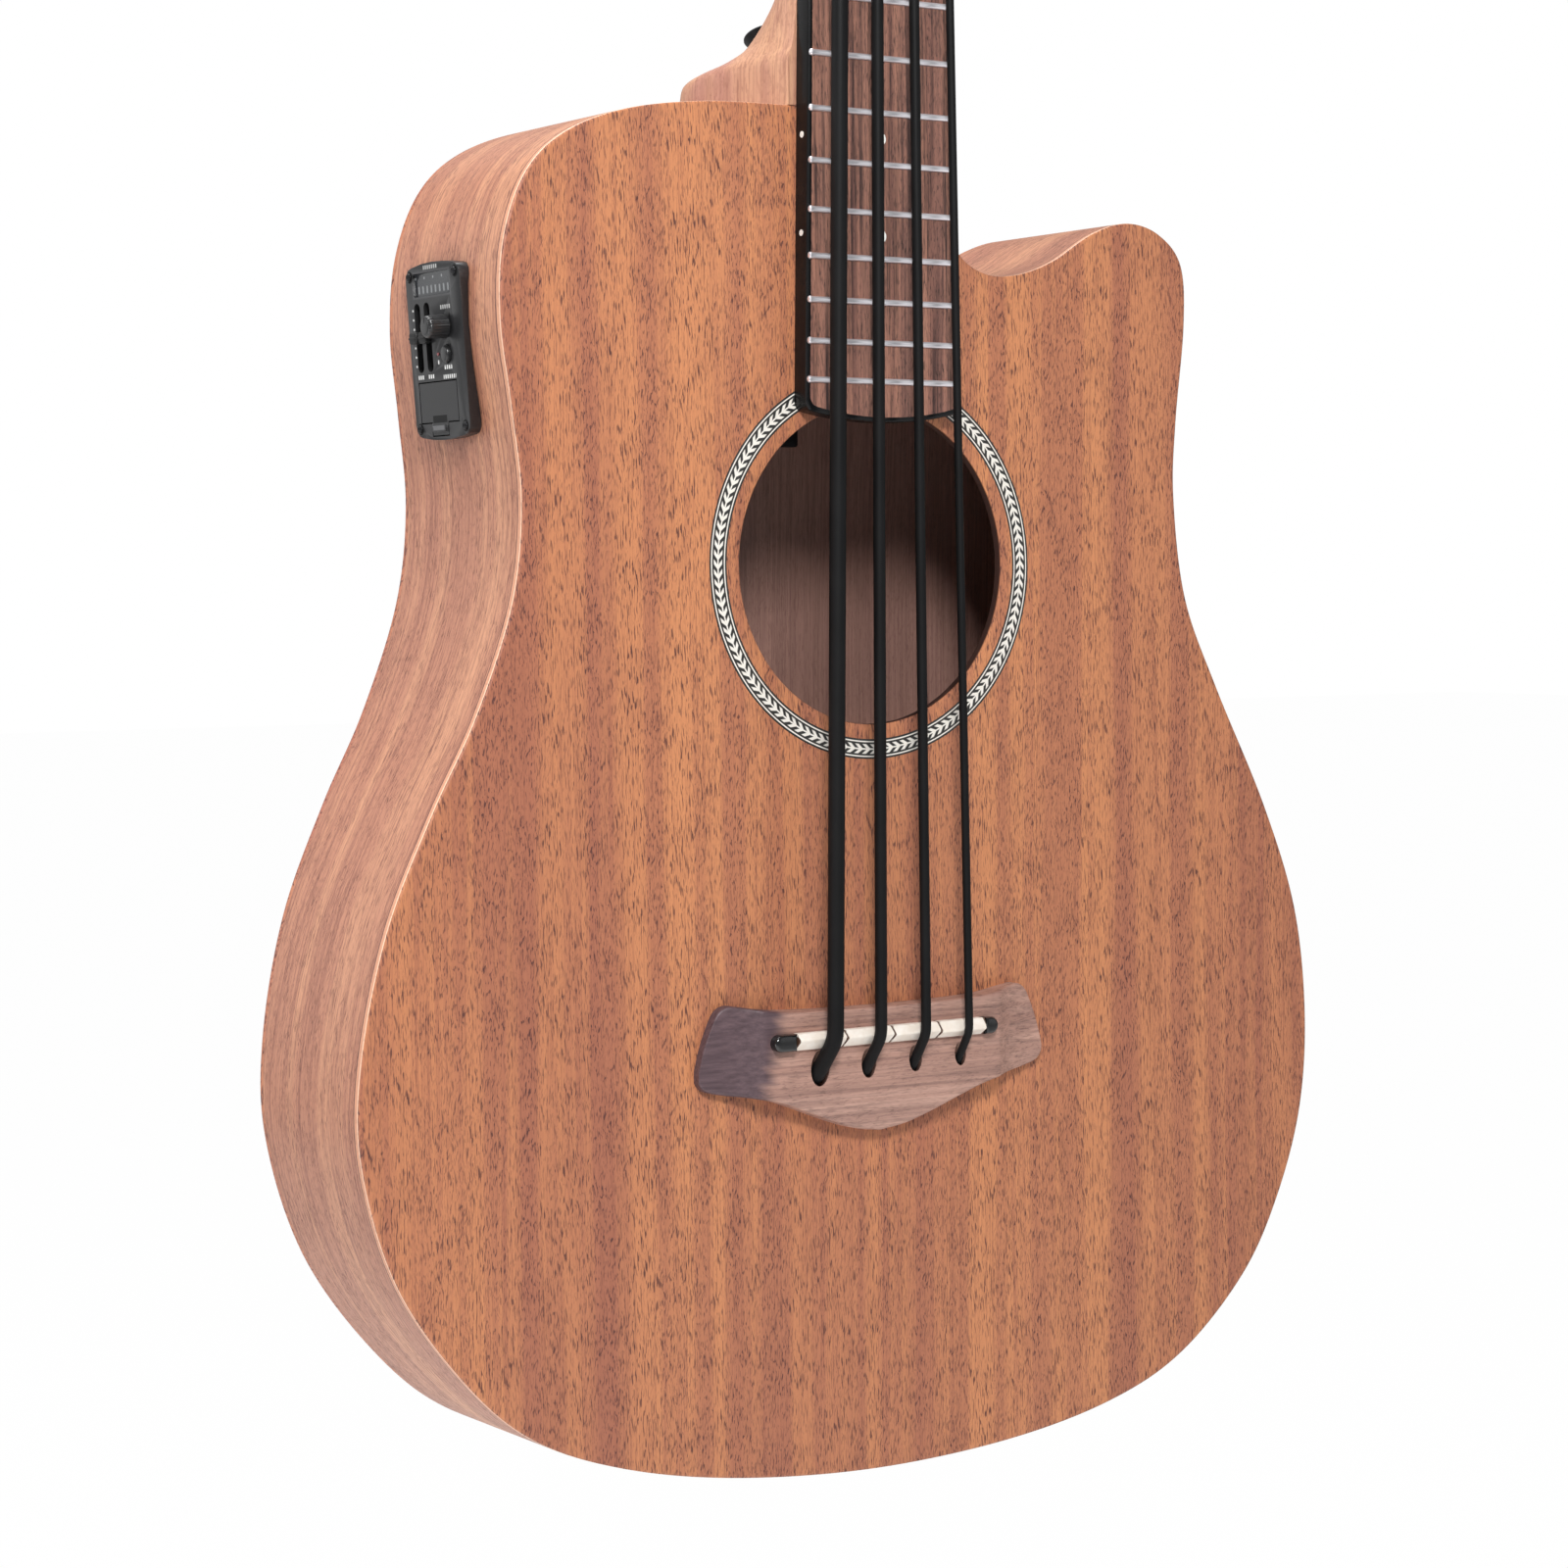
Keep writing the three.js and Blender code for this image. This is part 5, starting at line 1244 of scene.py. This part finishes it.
add_piece("top_plate", soundboard_form(), mahogany_top, replaces=("soundboard",))
add_piece("rosette_ring", rosette_form(), rosette_inlay, replaces=("rosette",))
add_piece("top_edge_strip", binding_form(), top_edge, replaces=("top_binding",))
bass_side = add_piece(
    "bass_side_bent", side_form(-1), mahogany_side, replaces=("side_bass",),
)
opening = rounded_box(*OPENING_SIZE, OPENING_CORNER)
carve(bass_side, [plate(opening, [(0, -OPENING_REACH), (0, OPENING_REACH)]).placed(PREAMP)])
add_piece(
    "treble_side_bent", side_form(1), mahogany_side, replaces=("side_treble",),
)
add_piece("back_plate", back_form(), mahogany_back, replaces=("back",))
clip_outline = rounded_box(CLIP_WIDTH, CLIP_WIDTH, CLIP_CORNER, *CLIP_PLACE)
clip = plate(clip_outline, edge(*CLIP_DEPTHS, top=CLIP_EASE))
add_piece("wire_clip", clip.placed(FRONT), moulded_black)


# Neck, heel and headstock ------------------------------------------------------------------

def board_half(z):
    """Half the board's width: the nut's, and more by the taper for each millimetre below it."""
    return NUT_HALF_WIDTH + (SCALE_LENGTH - z) * BOARD_TAPER


def neck_ring(z, half, depth, squareness, top=0.0):
    """Half of a superellipse behind the board: powers 2/n of the cosine and sine."""
    angle = np.linspace(0, math.pi, NECK_POINTS)
    cosine, sine = np.cos(angle), np.sin(angle)
    x = half * np.sign(cosine) * np.abs(cosine) ** (2 / squareness)
    y = top + depth * np.abs(sine) ** (2 / squareness)
    return np.column_stack([x, y, np.full(NECK_POINTS, z)])


HEAD_ORIGIN = np.array([0, 0, SCALE_LENGTH + NUT_THICKNESS])
HEAD_ALONG = np.array([0, math.sin(HEAD_TILT), math.cos(HEAD_TILT)])
HEAD_OUT = np.array([0, -math.cos(HEAD_TILT), math.sin(HEAD_TILT)])
HEAD = basis((1, 0, 0), HEAD_ALONG, HEAD_OUT, HEAD_ORIGIN)


def shaft_form():
    """Half superellipses from the heel up the neck and into the back of the headstock.

    The heel's stations add shares of its extra width and depth to the neck's own; past the nut the
    front falls back with the headstock's tilt.
    """
    rings = []
    for share, wide, deep, squareness in catmull(HEEL_SHARES, 4):
        z = JOINT_HEIGHT + share * HEEL_FLARE_HEIGHT
        half = board_half(z) + wide * (HEEL_HALF_WIDTH - board_half(JOINT_HEIGHT))
        depth = NECK_DEPTH + deep * (HEEL_DEPTH - NECK_DEPTH)
        rings.append(neck_ring(z, half, depth, squareness))
    rings.append(neck_ring(HEAD_ORIGIN[2], NUT_HALF_WIDTH, NECK_DEPTH, 2))
    for reach, narrow, deep in catmull([(0, 1, 1), *VOLUTE_SHARES], 4)[1:]:
        z = HEAD_ORIGIN[2] + reach * HEAD_THICKNESS
        front = (z - HEAD_ORIGIN[2]) * math.tan(HEAD_TILT) + SEAM
        rings.append(neck_ring(z, NUT_HALF_WIDTH * narrow, NECK_DEPTH * deep - front, 2, front))
    return skin(rings)


def head_outline():
    """Cubic through the shares of half width and length, and its mirror."""
    right = catmull(HEAD_SHARES, 5) * (HEAD_HALF_WIDTH, HEAD_LENGTH)
    left = right[-2::-1] * (-1, 1)
    return np.vstack([right, left])


def headstock_form():
    """Flat plate behind the facing, its back rim eased by a quarter circle."""
    rim = edge(-HEAD_THICKNESS, 0, bottom=HEAD_BACK_EASE)
    return plate(head_outline(), rim).placed(HEAD)


def head_plate_form():
    """Facing a seam inside the headstock's outline, with an eased front rim."""
    outline = inset(head_outline(), SEAM)
    outline[:, 1] = np.maximum(outline[:, 1], SEAM)
    return plate(outline, edge(HAIR, HEAD_PLATE + SEAM, top=HEAD_PLATE_EASE)).placed(HEAD)


add_piece(
    "neck_carved", shaft_form() + headstock_form(), neck_wood, replaces=("neck",),
)
add_piece(
    "headstock_face", head_plate_form(), board_wood, replaces=("headstock_plate",),
)
strap_button = turned(soften(STRAP_PROFILE, STRAP_EASE))
add_piece(
    "strap_button_turned", strap_button.placed(axis_frame(STRAP_BASE, STRAP_DIRECTION)),
    black_plate, replaces=("heel_strap_button",),
)


# Fretboard, frets and nut ------------------------------------------------------------------

def board_outline(distance):
    """Tapered sides, a shallow arc for the end, and eased corners."""
    half = board_half(BOARD_END) - distance
    share, rise = catmull(BOARD_END_SHARES, 4).T
    low = BOARD_END + distance + BOARD_END_ARC * share ** 2 + BOARD_CORNER * rise
    end = np.column_stack([half * share, low])
    top = board_half(SCALE_LENGTH) - distance
    return np.vstack([[-top, SCALE_LENGTH], end, [top, SCALE_LENGTH]])


def fret_form(z):
    """Crowned bar across the board, a little swollen before its rounded ends.

    The crown is a half circle whose sine is raised to a power, with a tang below; each station
    scales it by its own share.
    """
    reach = board_half(z) - FRET_END_GAP
    run, size = np.array(FRET_END_SHARES).T
    x = np.concatenate([run - reach, reach - run[::-1]])
    size = np.concatenate([size, size[::-1]])
    turn = np.linspace(0, math.pi, 11)
    half = FRET_WIDTH / 2
    crown = np.column_stack([np.cos(turn) * half, np.sin(turn) ** FRET_CROWN_POWER * FRET_CROWN])
    crown = np.vstack([crown, [-half, -FRET_TANG], [half, -FRET_TANG]])
    rings = np.zeros((len(x), len(crown), 3))
    rings[:, :, 0] = x[:, None]
    rings[:, :, 1] = -BOARD_THICKNESS - size[:, None] * crown[:, 1]
    rings[:, :, 2] = z + size[:, None] * crown[:, 0]
    return skin(rings)


def fret_height(number):
    """The open length halved with every twelfth fret."""
    return SCALE_LENGTH * 2 ** (-number / 12)


def dot_height(number):
    """Midway between a fret and the one before it."""
    return (fret_height(number) + fret_height(number - 1)) / 2


def dot_form(x, number):
    """Inlaid disc that stands a hair proud of the board."""
    rim = edge(BOARD_THICKNESS - DOT_DEPTH, BOARD_THICKNESS + DOT_RISE)
    return plate(circle(DOT_RADIUS, x, dot_height(number), sides=32), rim).placed(FRONT)


def side_dot_form(number):
    """Small disc set into the board's bass flank."""
    z = dot_height(number)
    start = (-board_half(z) + DOT_DEPTH, -BOARD_THICKNESS / 2, z)
    return turned(SIDE_DOT_PROFILE, sides=20).placed(axis_frame(start, (-1, 0, 0)))


def sum_forms(forms):
    """All the forms as one."""
    forms = list(forms)
    return sum(forms[1:], forms[0])


board_form = plate(board_outline(BOARD_BINDING), edge(0, BOARD_THICKNESS)).placed(FRONT)
rim_corner = quarter(*BOARD_RIM_CORNER, -BOARD_THICKNESS)
board_rim = ring_form(
    board_outline(0), board_outline(BOARD_BINDING),
    [(0, 0), *rim_corner, (1, -BOARD_THICKNESS), (1, 0)],
)
frets = sum_forms(fret_form(fret_height(n + 1)) for n in range(FRET_COUNT))
pair = [(DOT_SHIFT - PAIR_REACH, PAIR_FRET), (DOT_SHIFT + PAIR_REACH, PAIR_FRET)]
face_dots = sum_forms(dot_form(x, n) for x, n in [(DOT_SHIFT, n) for n in DOT_FRETS] + pair)
side_dots = sum_forms(side_dot_form(n) for n in SIDE_DOT_FRETS)
add_piece("fretboard_timber", board_form, board_wood, replaces=("fretboard",))
add_piece(
    "fretboard_rim", board_rim, black_edge, replaces=("fretboard_binding",),
)
add_piece("fret_wires", frets, fret_silver)
add_piece("face_dots", face_dots, pearl)
add_piece("side_dots", side_dots, pearl)
finished_copy("nut", nut_cream, ease=NUT_EASE)


# Bridge and saddle -------------------------------------------------------------------------

def string_places(index):
    """A string's place across at the saddle and at its hole: a share of each row's spread."""
    share = STRING_SHARES[index]
    return SPREAD_SHIFT + SADDLE_SPREAD * share, SPREAD_SHIFT + HOLE_SPREAD * share


def string_corners(index):
    """Turning points of a string from inside the body to the saddle."""
    _, diameter, setback, _ = STRINGS[index]
    saddle_x, hole_x = string_places(index)
    crest = BRIDGE_THICKNESS + SADDLE_RISE + SEAM + diameter / 2 * CREST_LIFT_SHARE
    return np.array([
        (hole_x, TOP_THICKNESS, HOLE_ROW), (hole_x, -BRIDGE_THICKNESS * HOLE_BEND_SHARE, HOLE_ROW),
        (saddle_x, -crest, SADDLE_HEIGHT + setback),
    ])


def bridge_form():
    """Slices across x, closer towards both ends as a sine.

    The outline gives each slice its two ends. Its height is the thickness less the scoop's fall
    towards the wings, and no more than the tip's, which falls as a power; both rims are eased by
    quarter circles.
    """
    size = (BRIDGE_HALF_WIDTH, BRIDGE_TOP - BRIDGE_TIP)
    half = catmull(BRIDGE_SHARES, 6) * size + (0, BRIDGE_TIP)
    point = BRIDGE_POINT * 6
    over, under = half[: point + 1], half[point:][::-1]
    even = np.linspace(-math.pi / 2, math.pi / 2, BRIDGE_SLICES)
    x = (BRIDGE_HALF_WIDTH - BRIDGE_END_GAP) * np.sin(even)
    high = np.interp(np.abs(x), over[:, 0], over[:, 1])[:, None]
    low = np.interp(np.abs(x), under[:, 0], under[:, 1])[:, None]

    scoop = catmull(SCOOP_SHARES, 6)
    along = (np.abs(x) - BRIDGE_FLAT) / (BRIDGE_HALF_WIDTH - BRIDGE_FLAT)
    fall = np.interp(along, scoop[:, 0], scoop[:, 1], left=0)[:, None]
    thick = BRIDGE_THICKNESS - fall * (BRIDGE_THICKNESS - BRIDGE_WING)

    ease = np.minimum(BRIDGE_EDGE, (high - low) * BRIDGE_EDGE_SHARE)
    t = np.linspace(0, math.pi / 2, 5)
    inwards = np.concatenate([[0], 1 - np.cos(t)])
    drop = np.concatenate([[0], 1 - np.sin(t)])
    across = np.linspace(0, 1, BRIDGE_ROWS)[1:-1]
    z_mid = low + ease + (high - low - 2 * ease) * across
    z = np.hstack([low + ease * inwards, z_mid, high - ease * inwards[::-1]])
    lowered = ease * np.concatenate([drop, 0 * across, drop[::-1]])

    tip = np.clip((BRIDGE_TIP_FLAT - z) / (BRIDGE_TIP_FLAT - BRIDGE_TIP), 0, 1)
    tip_fall = (BRIDGE_THICKNESS - BRIDGE_TIP_THICKNESS) * tip ** BRIDGE_TIP_POWER
    height = np.minimum(thick * np.ones_like(z), BRIDGE_THICKNESS - tip_fall) - lowered
    height[:, [0, -1]] = 0
    x = np.broadcast_to(x[:, None] + BRIDGE_SHIFT, z.shape)
    return skin(np.stack([x, -height, z], axis=-1))


def saddle_form(index):
    """Prism with a crest that stands back or forward for its string, and eased corners."""
    setback = STRINGS[index][2]
    length = 2 * SADDLE_HALF_LENGTH / len(STRINGS)
    start = SADDLE_SHIFT - SADDLE_HALF_LENGTH + index * length
    back, front = SADDLE_HEIGHT - SADDLE_WIDTH / 2, SADDLE_HEIGHT + SADDLE_WIDTH / 2
    section = soften([
        (SADDLE_SEAT - BRIDGE_THICKNESS, back), (-BRIDGE_THICKNESS - SADDLE_BACK_SHOULDER, back),
        (-BRIDGE_THICKNESS - SADDLE_RISE, SADDLE_HEIGHT + setback),
        (-BRIDGE_THICKNESS - SADDLE_SHOULDER, front), (SADDLE_SEAT - BRIDGE_THICKNESS, front),
    ], SADDLE_EASE)
    ends = (start + SEAM / 2, start + length - SEAM / 2)
    return skin([np.column_stack([np.full(len(section), x), section]) for x in ends])


def cap_form(side):
    """End cap: a bar with a round end and a crowned top."""
    radius = SADDLE_WIDTH / 2
    inner = SADDLE_SHIFT + side * SADDLE_HALF_LENGTH + side * SEAM / 2
    outer = inner + side * (CAP_LENGTHS[side] - SEAM)
    angle = np.linspace(-math.pi / 2, math.pi / 2, 17)
    x = outer - side * radius + side * radius * np.cos(angle)
    arc = np.column_stack([x, SADDLE_HEIGHT + radius * np.sin(angle)])
    outline = np.vstack([[inner, SADDLE_HEIGHT - radius], arc, [inner, SADDLE_HEIGHT + radius]])
    if side < 0:
        outline = outline[::-1]
    rim = edge(BRIDGE_THICKNESS - SADDLE_SEAT, BRIDGE_THICKNESS + CAP_RISE, top=CAP_EASE, steps=6)
    return plate(outline, rim).placed(FRONT)


def bridge_holes():
    """A round bar for each string, a slack wider, from inside its bend towards the saddle."""
    for index, (_, diameter, _, _) in enumerate(STRINGS):
        _, start, end = string_corners(index)
        radius = diameter / 2 + HOLE_SLACK
        bar = turned([(radius, -HOLE_OVERRUN), (radius, np.linalg.norm(end - start))], sides=32)
        yield bar.placed(axis_frame(start, unit(end - start)))


bridge_piece = add_piece(
    "bridge_carved", bridge_form(), bridge_wood, replaces=("bridge",),
)
carve(bridge_piece, bridge_holes())
for index, (name, *_) in enumerate(STRINGS):
    add_piece(
        f"saddle_segment_{name}", saddle_form(index), saddle_cream,
        replaces=(f"saddle_{name}",),
    )
for side, end in ((-1, "bass"), (1, "treble")):
    add_piece(
        f"saddle_end_{end}", cap_form(side), gloss_black,
        replaces=(f"saddle_cap_{end}",),
    )


# Strings -----------------------------------------------------------------------------------

def nut_place(index):
    """A string's place across at the nut: even steps of the spread."""
    return NUT_SPREAD * (index / 3 - 0.5)


def winding(index):
    """Helix down the post: round it at a running clearance, a pitch of one string and a gap.

    It begins where the line from the nut touches its circle.
    """
    name, diameter, _, turns = STRINGS[index]
    x, along = TUNERS[name]
    side = math.copysign(1, x)
    reach = POST_RADIUS + SEAM + diameter / 2
    dx, dy = (nut_place(index) - x) * -side, NUT_THICKNESS / 2 - along
    first = math.atan2(dy, dx) + math.acos(reach / math.hypot(dx, dy))
    turn = np.linspace(0, turns, round(turns * TURN_STEPS) + 1)
    angle = first + turn * 2 * math.pi
    rise = HEAD_PLATE + 2 * SEAM + diameter / 2 + (diameter + WINDING_GAP) * (turns - turn)
    x, y = x - side * reach * np.cos(angle), along + reach * np.sin(angle)
    return np.column_stack([x, y, rise]) @ HEAD[:3, :3].T + HEAD[:3, 3]


def string_form(index):
    """Round string from the body, over saddle and nut, and round its post; its last end is domed.

    Its first axis turns from across the neck to the headstock's front in the steps before the post.
    """
    radius = STRINGS[index][1] / 2
    wound = winding(index)
    nut = [(nut_place(index), -NUT_STRING_RISE, SCALE_LENGTH + NUT_THICKNESS / 2)]
    corners = np.vstack([string_corners(index), nut, wound[:1]])
    run = soften(corners, radius * STRING_BEND_SHARE, steps=BEND_STEPS)
    path = np.vstack([run[:-1], wound])
    count = len(path)
    twist = np.clip((np.arange(count) - (len(run) - 1 - TWIST_STEPS)) / TWIST_STEPS, 0, 1)[:, None]
    reference = unit((1 - twist) * np.array([1.0, 0, 0]) + twist * HEAD_OUT)
    tip = unit(path[-1] - path[-2])
    dome = np.linspace(0, math.pi / 2, 5)[1:]
    path = np.vstack([path, path[-1] + radius * np.sin(dome)[:, None] * tip])
    reference = np.vstack([reference, np.repeat(reference[-1:], len(dome), axis=0)])
    size = np.concatenate([np.full(count, radius), radius * np.maximum(np.cos(dome), 0.1)])
    return tube(path, size, reference)


for index, (name, *_) in enumerate(STRINGS):
    add_piece(
        f"string_{name}_round", string_form(index), string_rubber,
        replaces=(f"string_{name}",),
    )


# Tuning machines ---------------------------------------------------------------------------

HOUSING_TOP = -HEAD_THICKNESS - SEAM
WORM_DEPTH = HOUSING_TOP - HOUSING_PLATE - HOUSING_DEPTH / 2


def post_form(x, along):
    """Turned post with a wider cap near its top."""
    top = HEAD_PLATE + POST_HEIGHT
    below, low, high = (top - drop for drop in POST_CAP_DROPS)
    profile = soften([
        (POST_RADIUS, HOUSING_TOP - POST_FOOT), (POST_RADIUS, below), (POST_CAP, low),
        (POST_CAP, high), (POST_RADIUS, top), (POST_CENTRE, top),
    ], POST_EASE)
    return turned(profile).placed(shifted(HEAD, x, along))


def key_form(x, along):
    """Turned shaft, and a turned tulip-shaped grip pressed flat."""
    side = math.copysign(1, x)
    sideways = basis((0, 1, 0), np.cross((side, 0, 0), (0, 1, 0)), (side, 0, 0), (0, 0, 0))
    start = x + side * (HOUSING_WIDTH / 2 - KEY_SHAFT_DEPTH)
    grip = side * (HEAD_HALF_WIDTH + KEY_GAP)
    shaft = turned([(KEY_SHAFT, 0), (KEY_SHAFT, abs(grip - start) + KEY_OVERLAP)], sides=24)
    tulip = turned(catmull(KEY_SHARES, 5) * (KEY_HALF_WIDTH, KEY_LENGTH), sides=40)
    flat = np.diag([1, KEY_HALF_THICKNESS / KEY_HALF_WIDTH, 1, 1])
    at_start, at_grip = (
        shifted(HEAD, place, along - WORM_OFFSET, WORM_DEPTH) @ sideways for place in (start, grip)
    )
    return shaft.placed(at_start) + tulip.placed(at_grip @ flat)


for name, (x, along) in TUNERS.items():
    add_piece(
        f"post_{name}_turned", post_form(x, along), post_steel,
        f"post_{name}", (f"tuner_post_{name}",),
    )
    add_piece(
        f"key_{name}_shaped", key_form(x, along), black_plate,
        f"key_{name}", (f"tuner_key_{name}",),
    )
    finished_copy(f"tuner_housing_{name}", black_plate, ease=HOUSING_EASE)


# Preamp ------------------------------------------------------------------------------------

def knob_form():
    """Fluted barrel with a crowned top, on a round stem."""
    low, high = PANEL_RISE + CONTROL_GAP, PANEL_RISE + KNOB_HEIGHT
    centre, crown = KNOB_CENTRE
    profile = soften([
        *((KNOB_RADIUS - draw, low + rise) for draw, rise in KNOB_FOOT),
        *((KNOB_RADIUS - draw, high - drop) for draw, drop in KNOB_CROWN),
        (centre, high + crown),
    ], KNOB_EASE)
    barrel = turned(profile, KNOB_SIDES, KNOB_FLUTES, KNOB_FLUTE_SHARE)
    foot = [(KNOB_STEM_RADIUS, CONTROL_FLOOR), (KNOB_STEM_RADIUS, low + KNOB_STEM_OVERLAP)]
    return (barrel + turned(foot, sides=24)).placed(shifted(PREAMP, *KNOB_PLACE))


def pointer_form():
    """Raised line on the knob from its middle to its edge."""
    x, y = KNOB_PLACE
    half = KNOB_RADIUS / 2
    top = PANEL_RISE + KNOB_HEIGHT
    line = rounded_box(POINTER_WIDTH, half, POINTER_CORNER, x, y + half)
    rim = edge(top - POINTER_DEPTH, top + POINTER_RISE, top=POINTER_EASE)
    return plate(line, rim).placed(PREAMP)


def slider_form(x):
    """Cap with a thumb ridge on a thin stem, each a plate with eased rims."""
    return sum_forms(
        plate(
            rounded_box(width, length, corner, x, SLOT_HEIGHT),
            edge(PANEL_RISE + low, PANEL_RISE + high, top, bottom),
        )
        for width, length, corner, low, high, top, bottom in SLIDER_PARTS
    ).placed(PREAMP)


def button_form():
    """Oval plate with an eased rim."""
    oval = circle(BUTTON_RADIUS, sides=40) * (BUTTON_NARROW_SHARE, 1.0) + BUTTON_PLACE
    rim = edge(CONTROL_FLOOR, PANEL_RISE + BUTTON_PROUD, top=BUTTON_EASE)
    return plate(oval, rim).placed(PREAMP)


def screw_form(x, y):
    """Domed head with a dished middle."""
    head = turned(soften(SCREW_PROFILE, SCREW_EASE), sides=32)
    return head.placed(shifted(PREAMP, x, y, TRIM_FLOOR))


def mouth_form(x):
    """Cutter that widens a slider's slot from below the panel's face to above it."""
    reach = [(0, PANEL_RISE - SLOT_MOUTH_REACH), (0, PANEL_RISE + SLOT_MOUTH_REACH)]
    return plate(rounded_box(*SLOT_MOUTH, x, SLOT_HEIGHT), reach).placed(PREAMP)


panel = finished_copy("preamp_panel", panel_finish(), ease=PANEL_EASE)
carve(panel, [mouth_form(x) for x in SLOT_PLACES.values()])
finished_copy("preamp_box", moulded_black, ease=BOX_EASE)
finished_copy("battery_door", door_finish(), "battery_hatch", ease=DOOR_EASE)
lens = turned(LED_PROFILE, sides=20).placed(shifted(PREAMP, *LED_PLACE, TRIM_FLOOR))
screws = sum_forms(screw_form(x, y) for x, y in SCREW_PLACES)
controls = [
    ("knob_turned", knob_form() + pointer_form(), control_black, "volume_control", "volume_knob"),
    ("button_oval", button_form(), control_black, "tuner_switch", "tuner_button"),
    *(
        (f"{name}_cap", slider_form(x), slider_black, name.replace("slider", "control"), name)
        for name, x in SLOT_PLACES.items()
    ),
]
for name, form, finish, body, node in controls:
    add_piece(name, form, finish, body, (node,))
add_piece("panel_screws", screws, black_plate)
add_piece("indicator", lens, red_lens)
finished_copy("output_jack", black_plate, ease=JACK_EASE)


# Pieces that keep their CAD shape ----------------------------------------------------------

kept = [
    (inner_wood, [
        "lining_top_bass", "lining_top_treble", "lining_back_bass", "lining_back_treble",
        "neck_block", "tail_block", "bridge_plate",
    ]),
    (brace_wood, [
        "x_brace", "upper_brace", "back_brace_upper", "back_brace_waist", "back_brace_lower",
    ]),
    (plain_steel, ["truss_rod", "coin_cells"]),
    (braid_brass, ["pickup_strip"]),
]
for finish, names in kept:
    for name in names:
        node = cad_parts[name]
        node.data.materials.clear()
        node.data.materials.append(finish)


# Stage, light and camera, in the frame's metres --------------------------------------------

FLOOR_GAP = 0.22
FLOOR_REACH = 12.0
FLOOR_WHITE_SHARE = 0.985
SKY_STRENGTH = 0.28
LENS_MM = 81.63
SENSOR_MM = 36.0
CAMERA_PLACE = (-0.6438, -0.9139, -0.5014)
CAMERA_AXES = ((0.8317, -0.5552, -0.0071), (0.0352, 0.0400, 0.9986), (-0.5541, -0.8308, 0.0528))

# Lamps: name, place, target, size, power
BODY_MIDDLE = (0.0, 0.04, -0.5)
LAMPS = [
    ("key", (-0.5, -0.92, 0.1), (0.0, 0.0, -0.42), 0.3, 12),
    ("fill", (1.5, -1.9, 0.0), BODY_MIDDLE, 1.8, 3),
    ("side_wash", (-1.9, 0.7, 0.3), BODY_MIDDLE, 1.2, 8),
    ("behind", (-1.0, 1.9, -0.2), BODY_MIDDLE, 1.4, 3),
    ("above", (-0.3, 0.35, 0.9), BODY_MIDDLE, 1.2, 22),
    ("low", (-1.0, -0.1, -0.95), BODY_MIDDLE, 0.7, 2.2),
]


def white_for_camera(tree, lit, output, white, share):
    """Replaces a share of the lit shader by plain white, for rays that start at the camera."""
    rays = tree.nodes.new("ShaderNodeLightPath")
    part = tree.nodes.new("ShaderNodeMath")
    part.operation = "MULTIPLY"
    part.inputs[1].default_value = share
    mix = tree.nodes.new("ShaderNodeMixShader")
    source = tree.nodes.new(white)
    source.inputs["Color"].default_value = (1, 1, 1, 1)
    tree.links.new(rays.outputs["Is Camera Ray"], part.inputs[0])
    tree.links.new(part.outputs[0], mix.inputs[0])
    tree.links.new(lit.outputs[0], mix.inputs[1])
    tree.links.new(source.outputs[0], mix.inputs[2])
    tree.links.new(mix.outputs[0], output.inputs["Surface"])


def add_floor():
    """Wide pale square a gap below the part."""
    low = cad_box[0][2] - FLOOR_GAP
    mesh = bpy.data.meshes.new("floor")
    signs = ((-1, -1), (1, -1), (1, 1), (-1, 1))
    corners = [(x * FLOOR_REACH, y * FLOOR_REACH, low) for x, y in signs]
    mesh.from_pydata(corners, [], [(0, 1, 2, 3)])
    floor = link("floor", mesh)
    material = bpy.data.materials.new("pale_floor")
    material.use_nodes = True
    nodes = material.node_tree.nodes
    shader = nodes["Principled BSDF"]
    shader.inputs["Base Color"].default_value = paint(246, 246, 246)
    shader.inputs["Roughness"].default_value = 0.9
    output = nodes["Material Output"]
    white_for_camera(
        material.node_tree, shader, output, "ShaderNodeEmission", FLOOR_WHITE_SHARE,
    )
    mesh.materials.append(material)


def add_world():
    """Dim even white sky that the camera sees as plain white."""
    world = bpy.data.worlds.new("studio")
    bpy.context.scene.world = world
    world.use_nodes = True
    nodes = world.node_tree.nodes
    sky = nodes["Background"]
    sky.inputs["Color"].default_value = (1, 1, 1, 1)
    sky.inputs["Strength"].default_value = SKY_STRENGTH
    white_for_camera(world.node_tree, sky, nodes["World Output"], "ShaderNodeBackground", 1.0)


def add_lamp(name, place, target, size, power):
    """Round soft lamp at a place, turned towards its target."""
    lamp = bpy.data.lights.new(name, "AREA")
    lamp.shape, lamp.size, lamp.energy = "DISK", size, power
    out = unit(np.array(place) - target)
    aside = unit(np.cross((0, 0, 1), out))
    link(name, lamp).matrix_world = Matrix(basis(aside, np.cross(out, aside), out, place))


def add_camera():
    """Camera at the photograph's viewpoint: its right, up and backward axes and its place."""
    camera = bpy.data.cameras.new("view")
    camera.lens, camera.sensor_width, camera.clip_start = LENS_MM, SENSOR_MM, 0.01
    holder = link("view", camera)
    holder.matrix_world = Matrix(basis(*CAMERA_AXES, CAMERA_PLACE))
    bpy.context.scene.camera = holder


add_floor()
add_world()
for lamp in LAMPS:
    add_lamp(*lamp)
add_camera()
bpy.context.scene.view_settings.view_transform = "Standard"
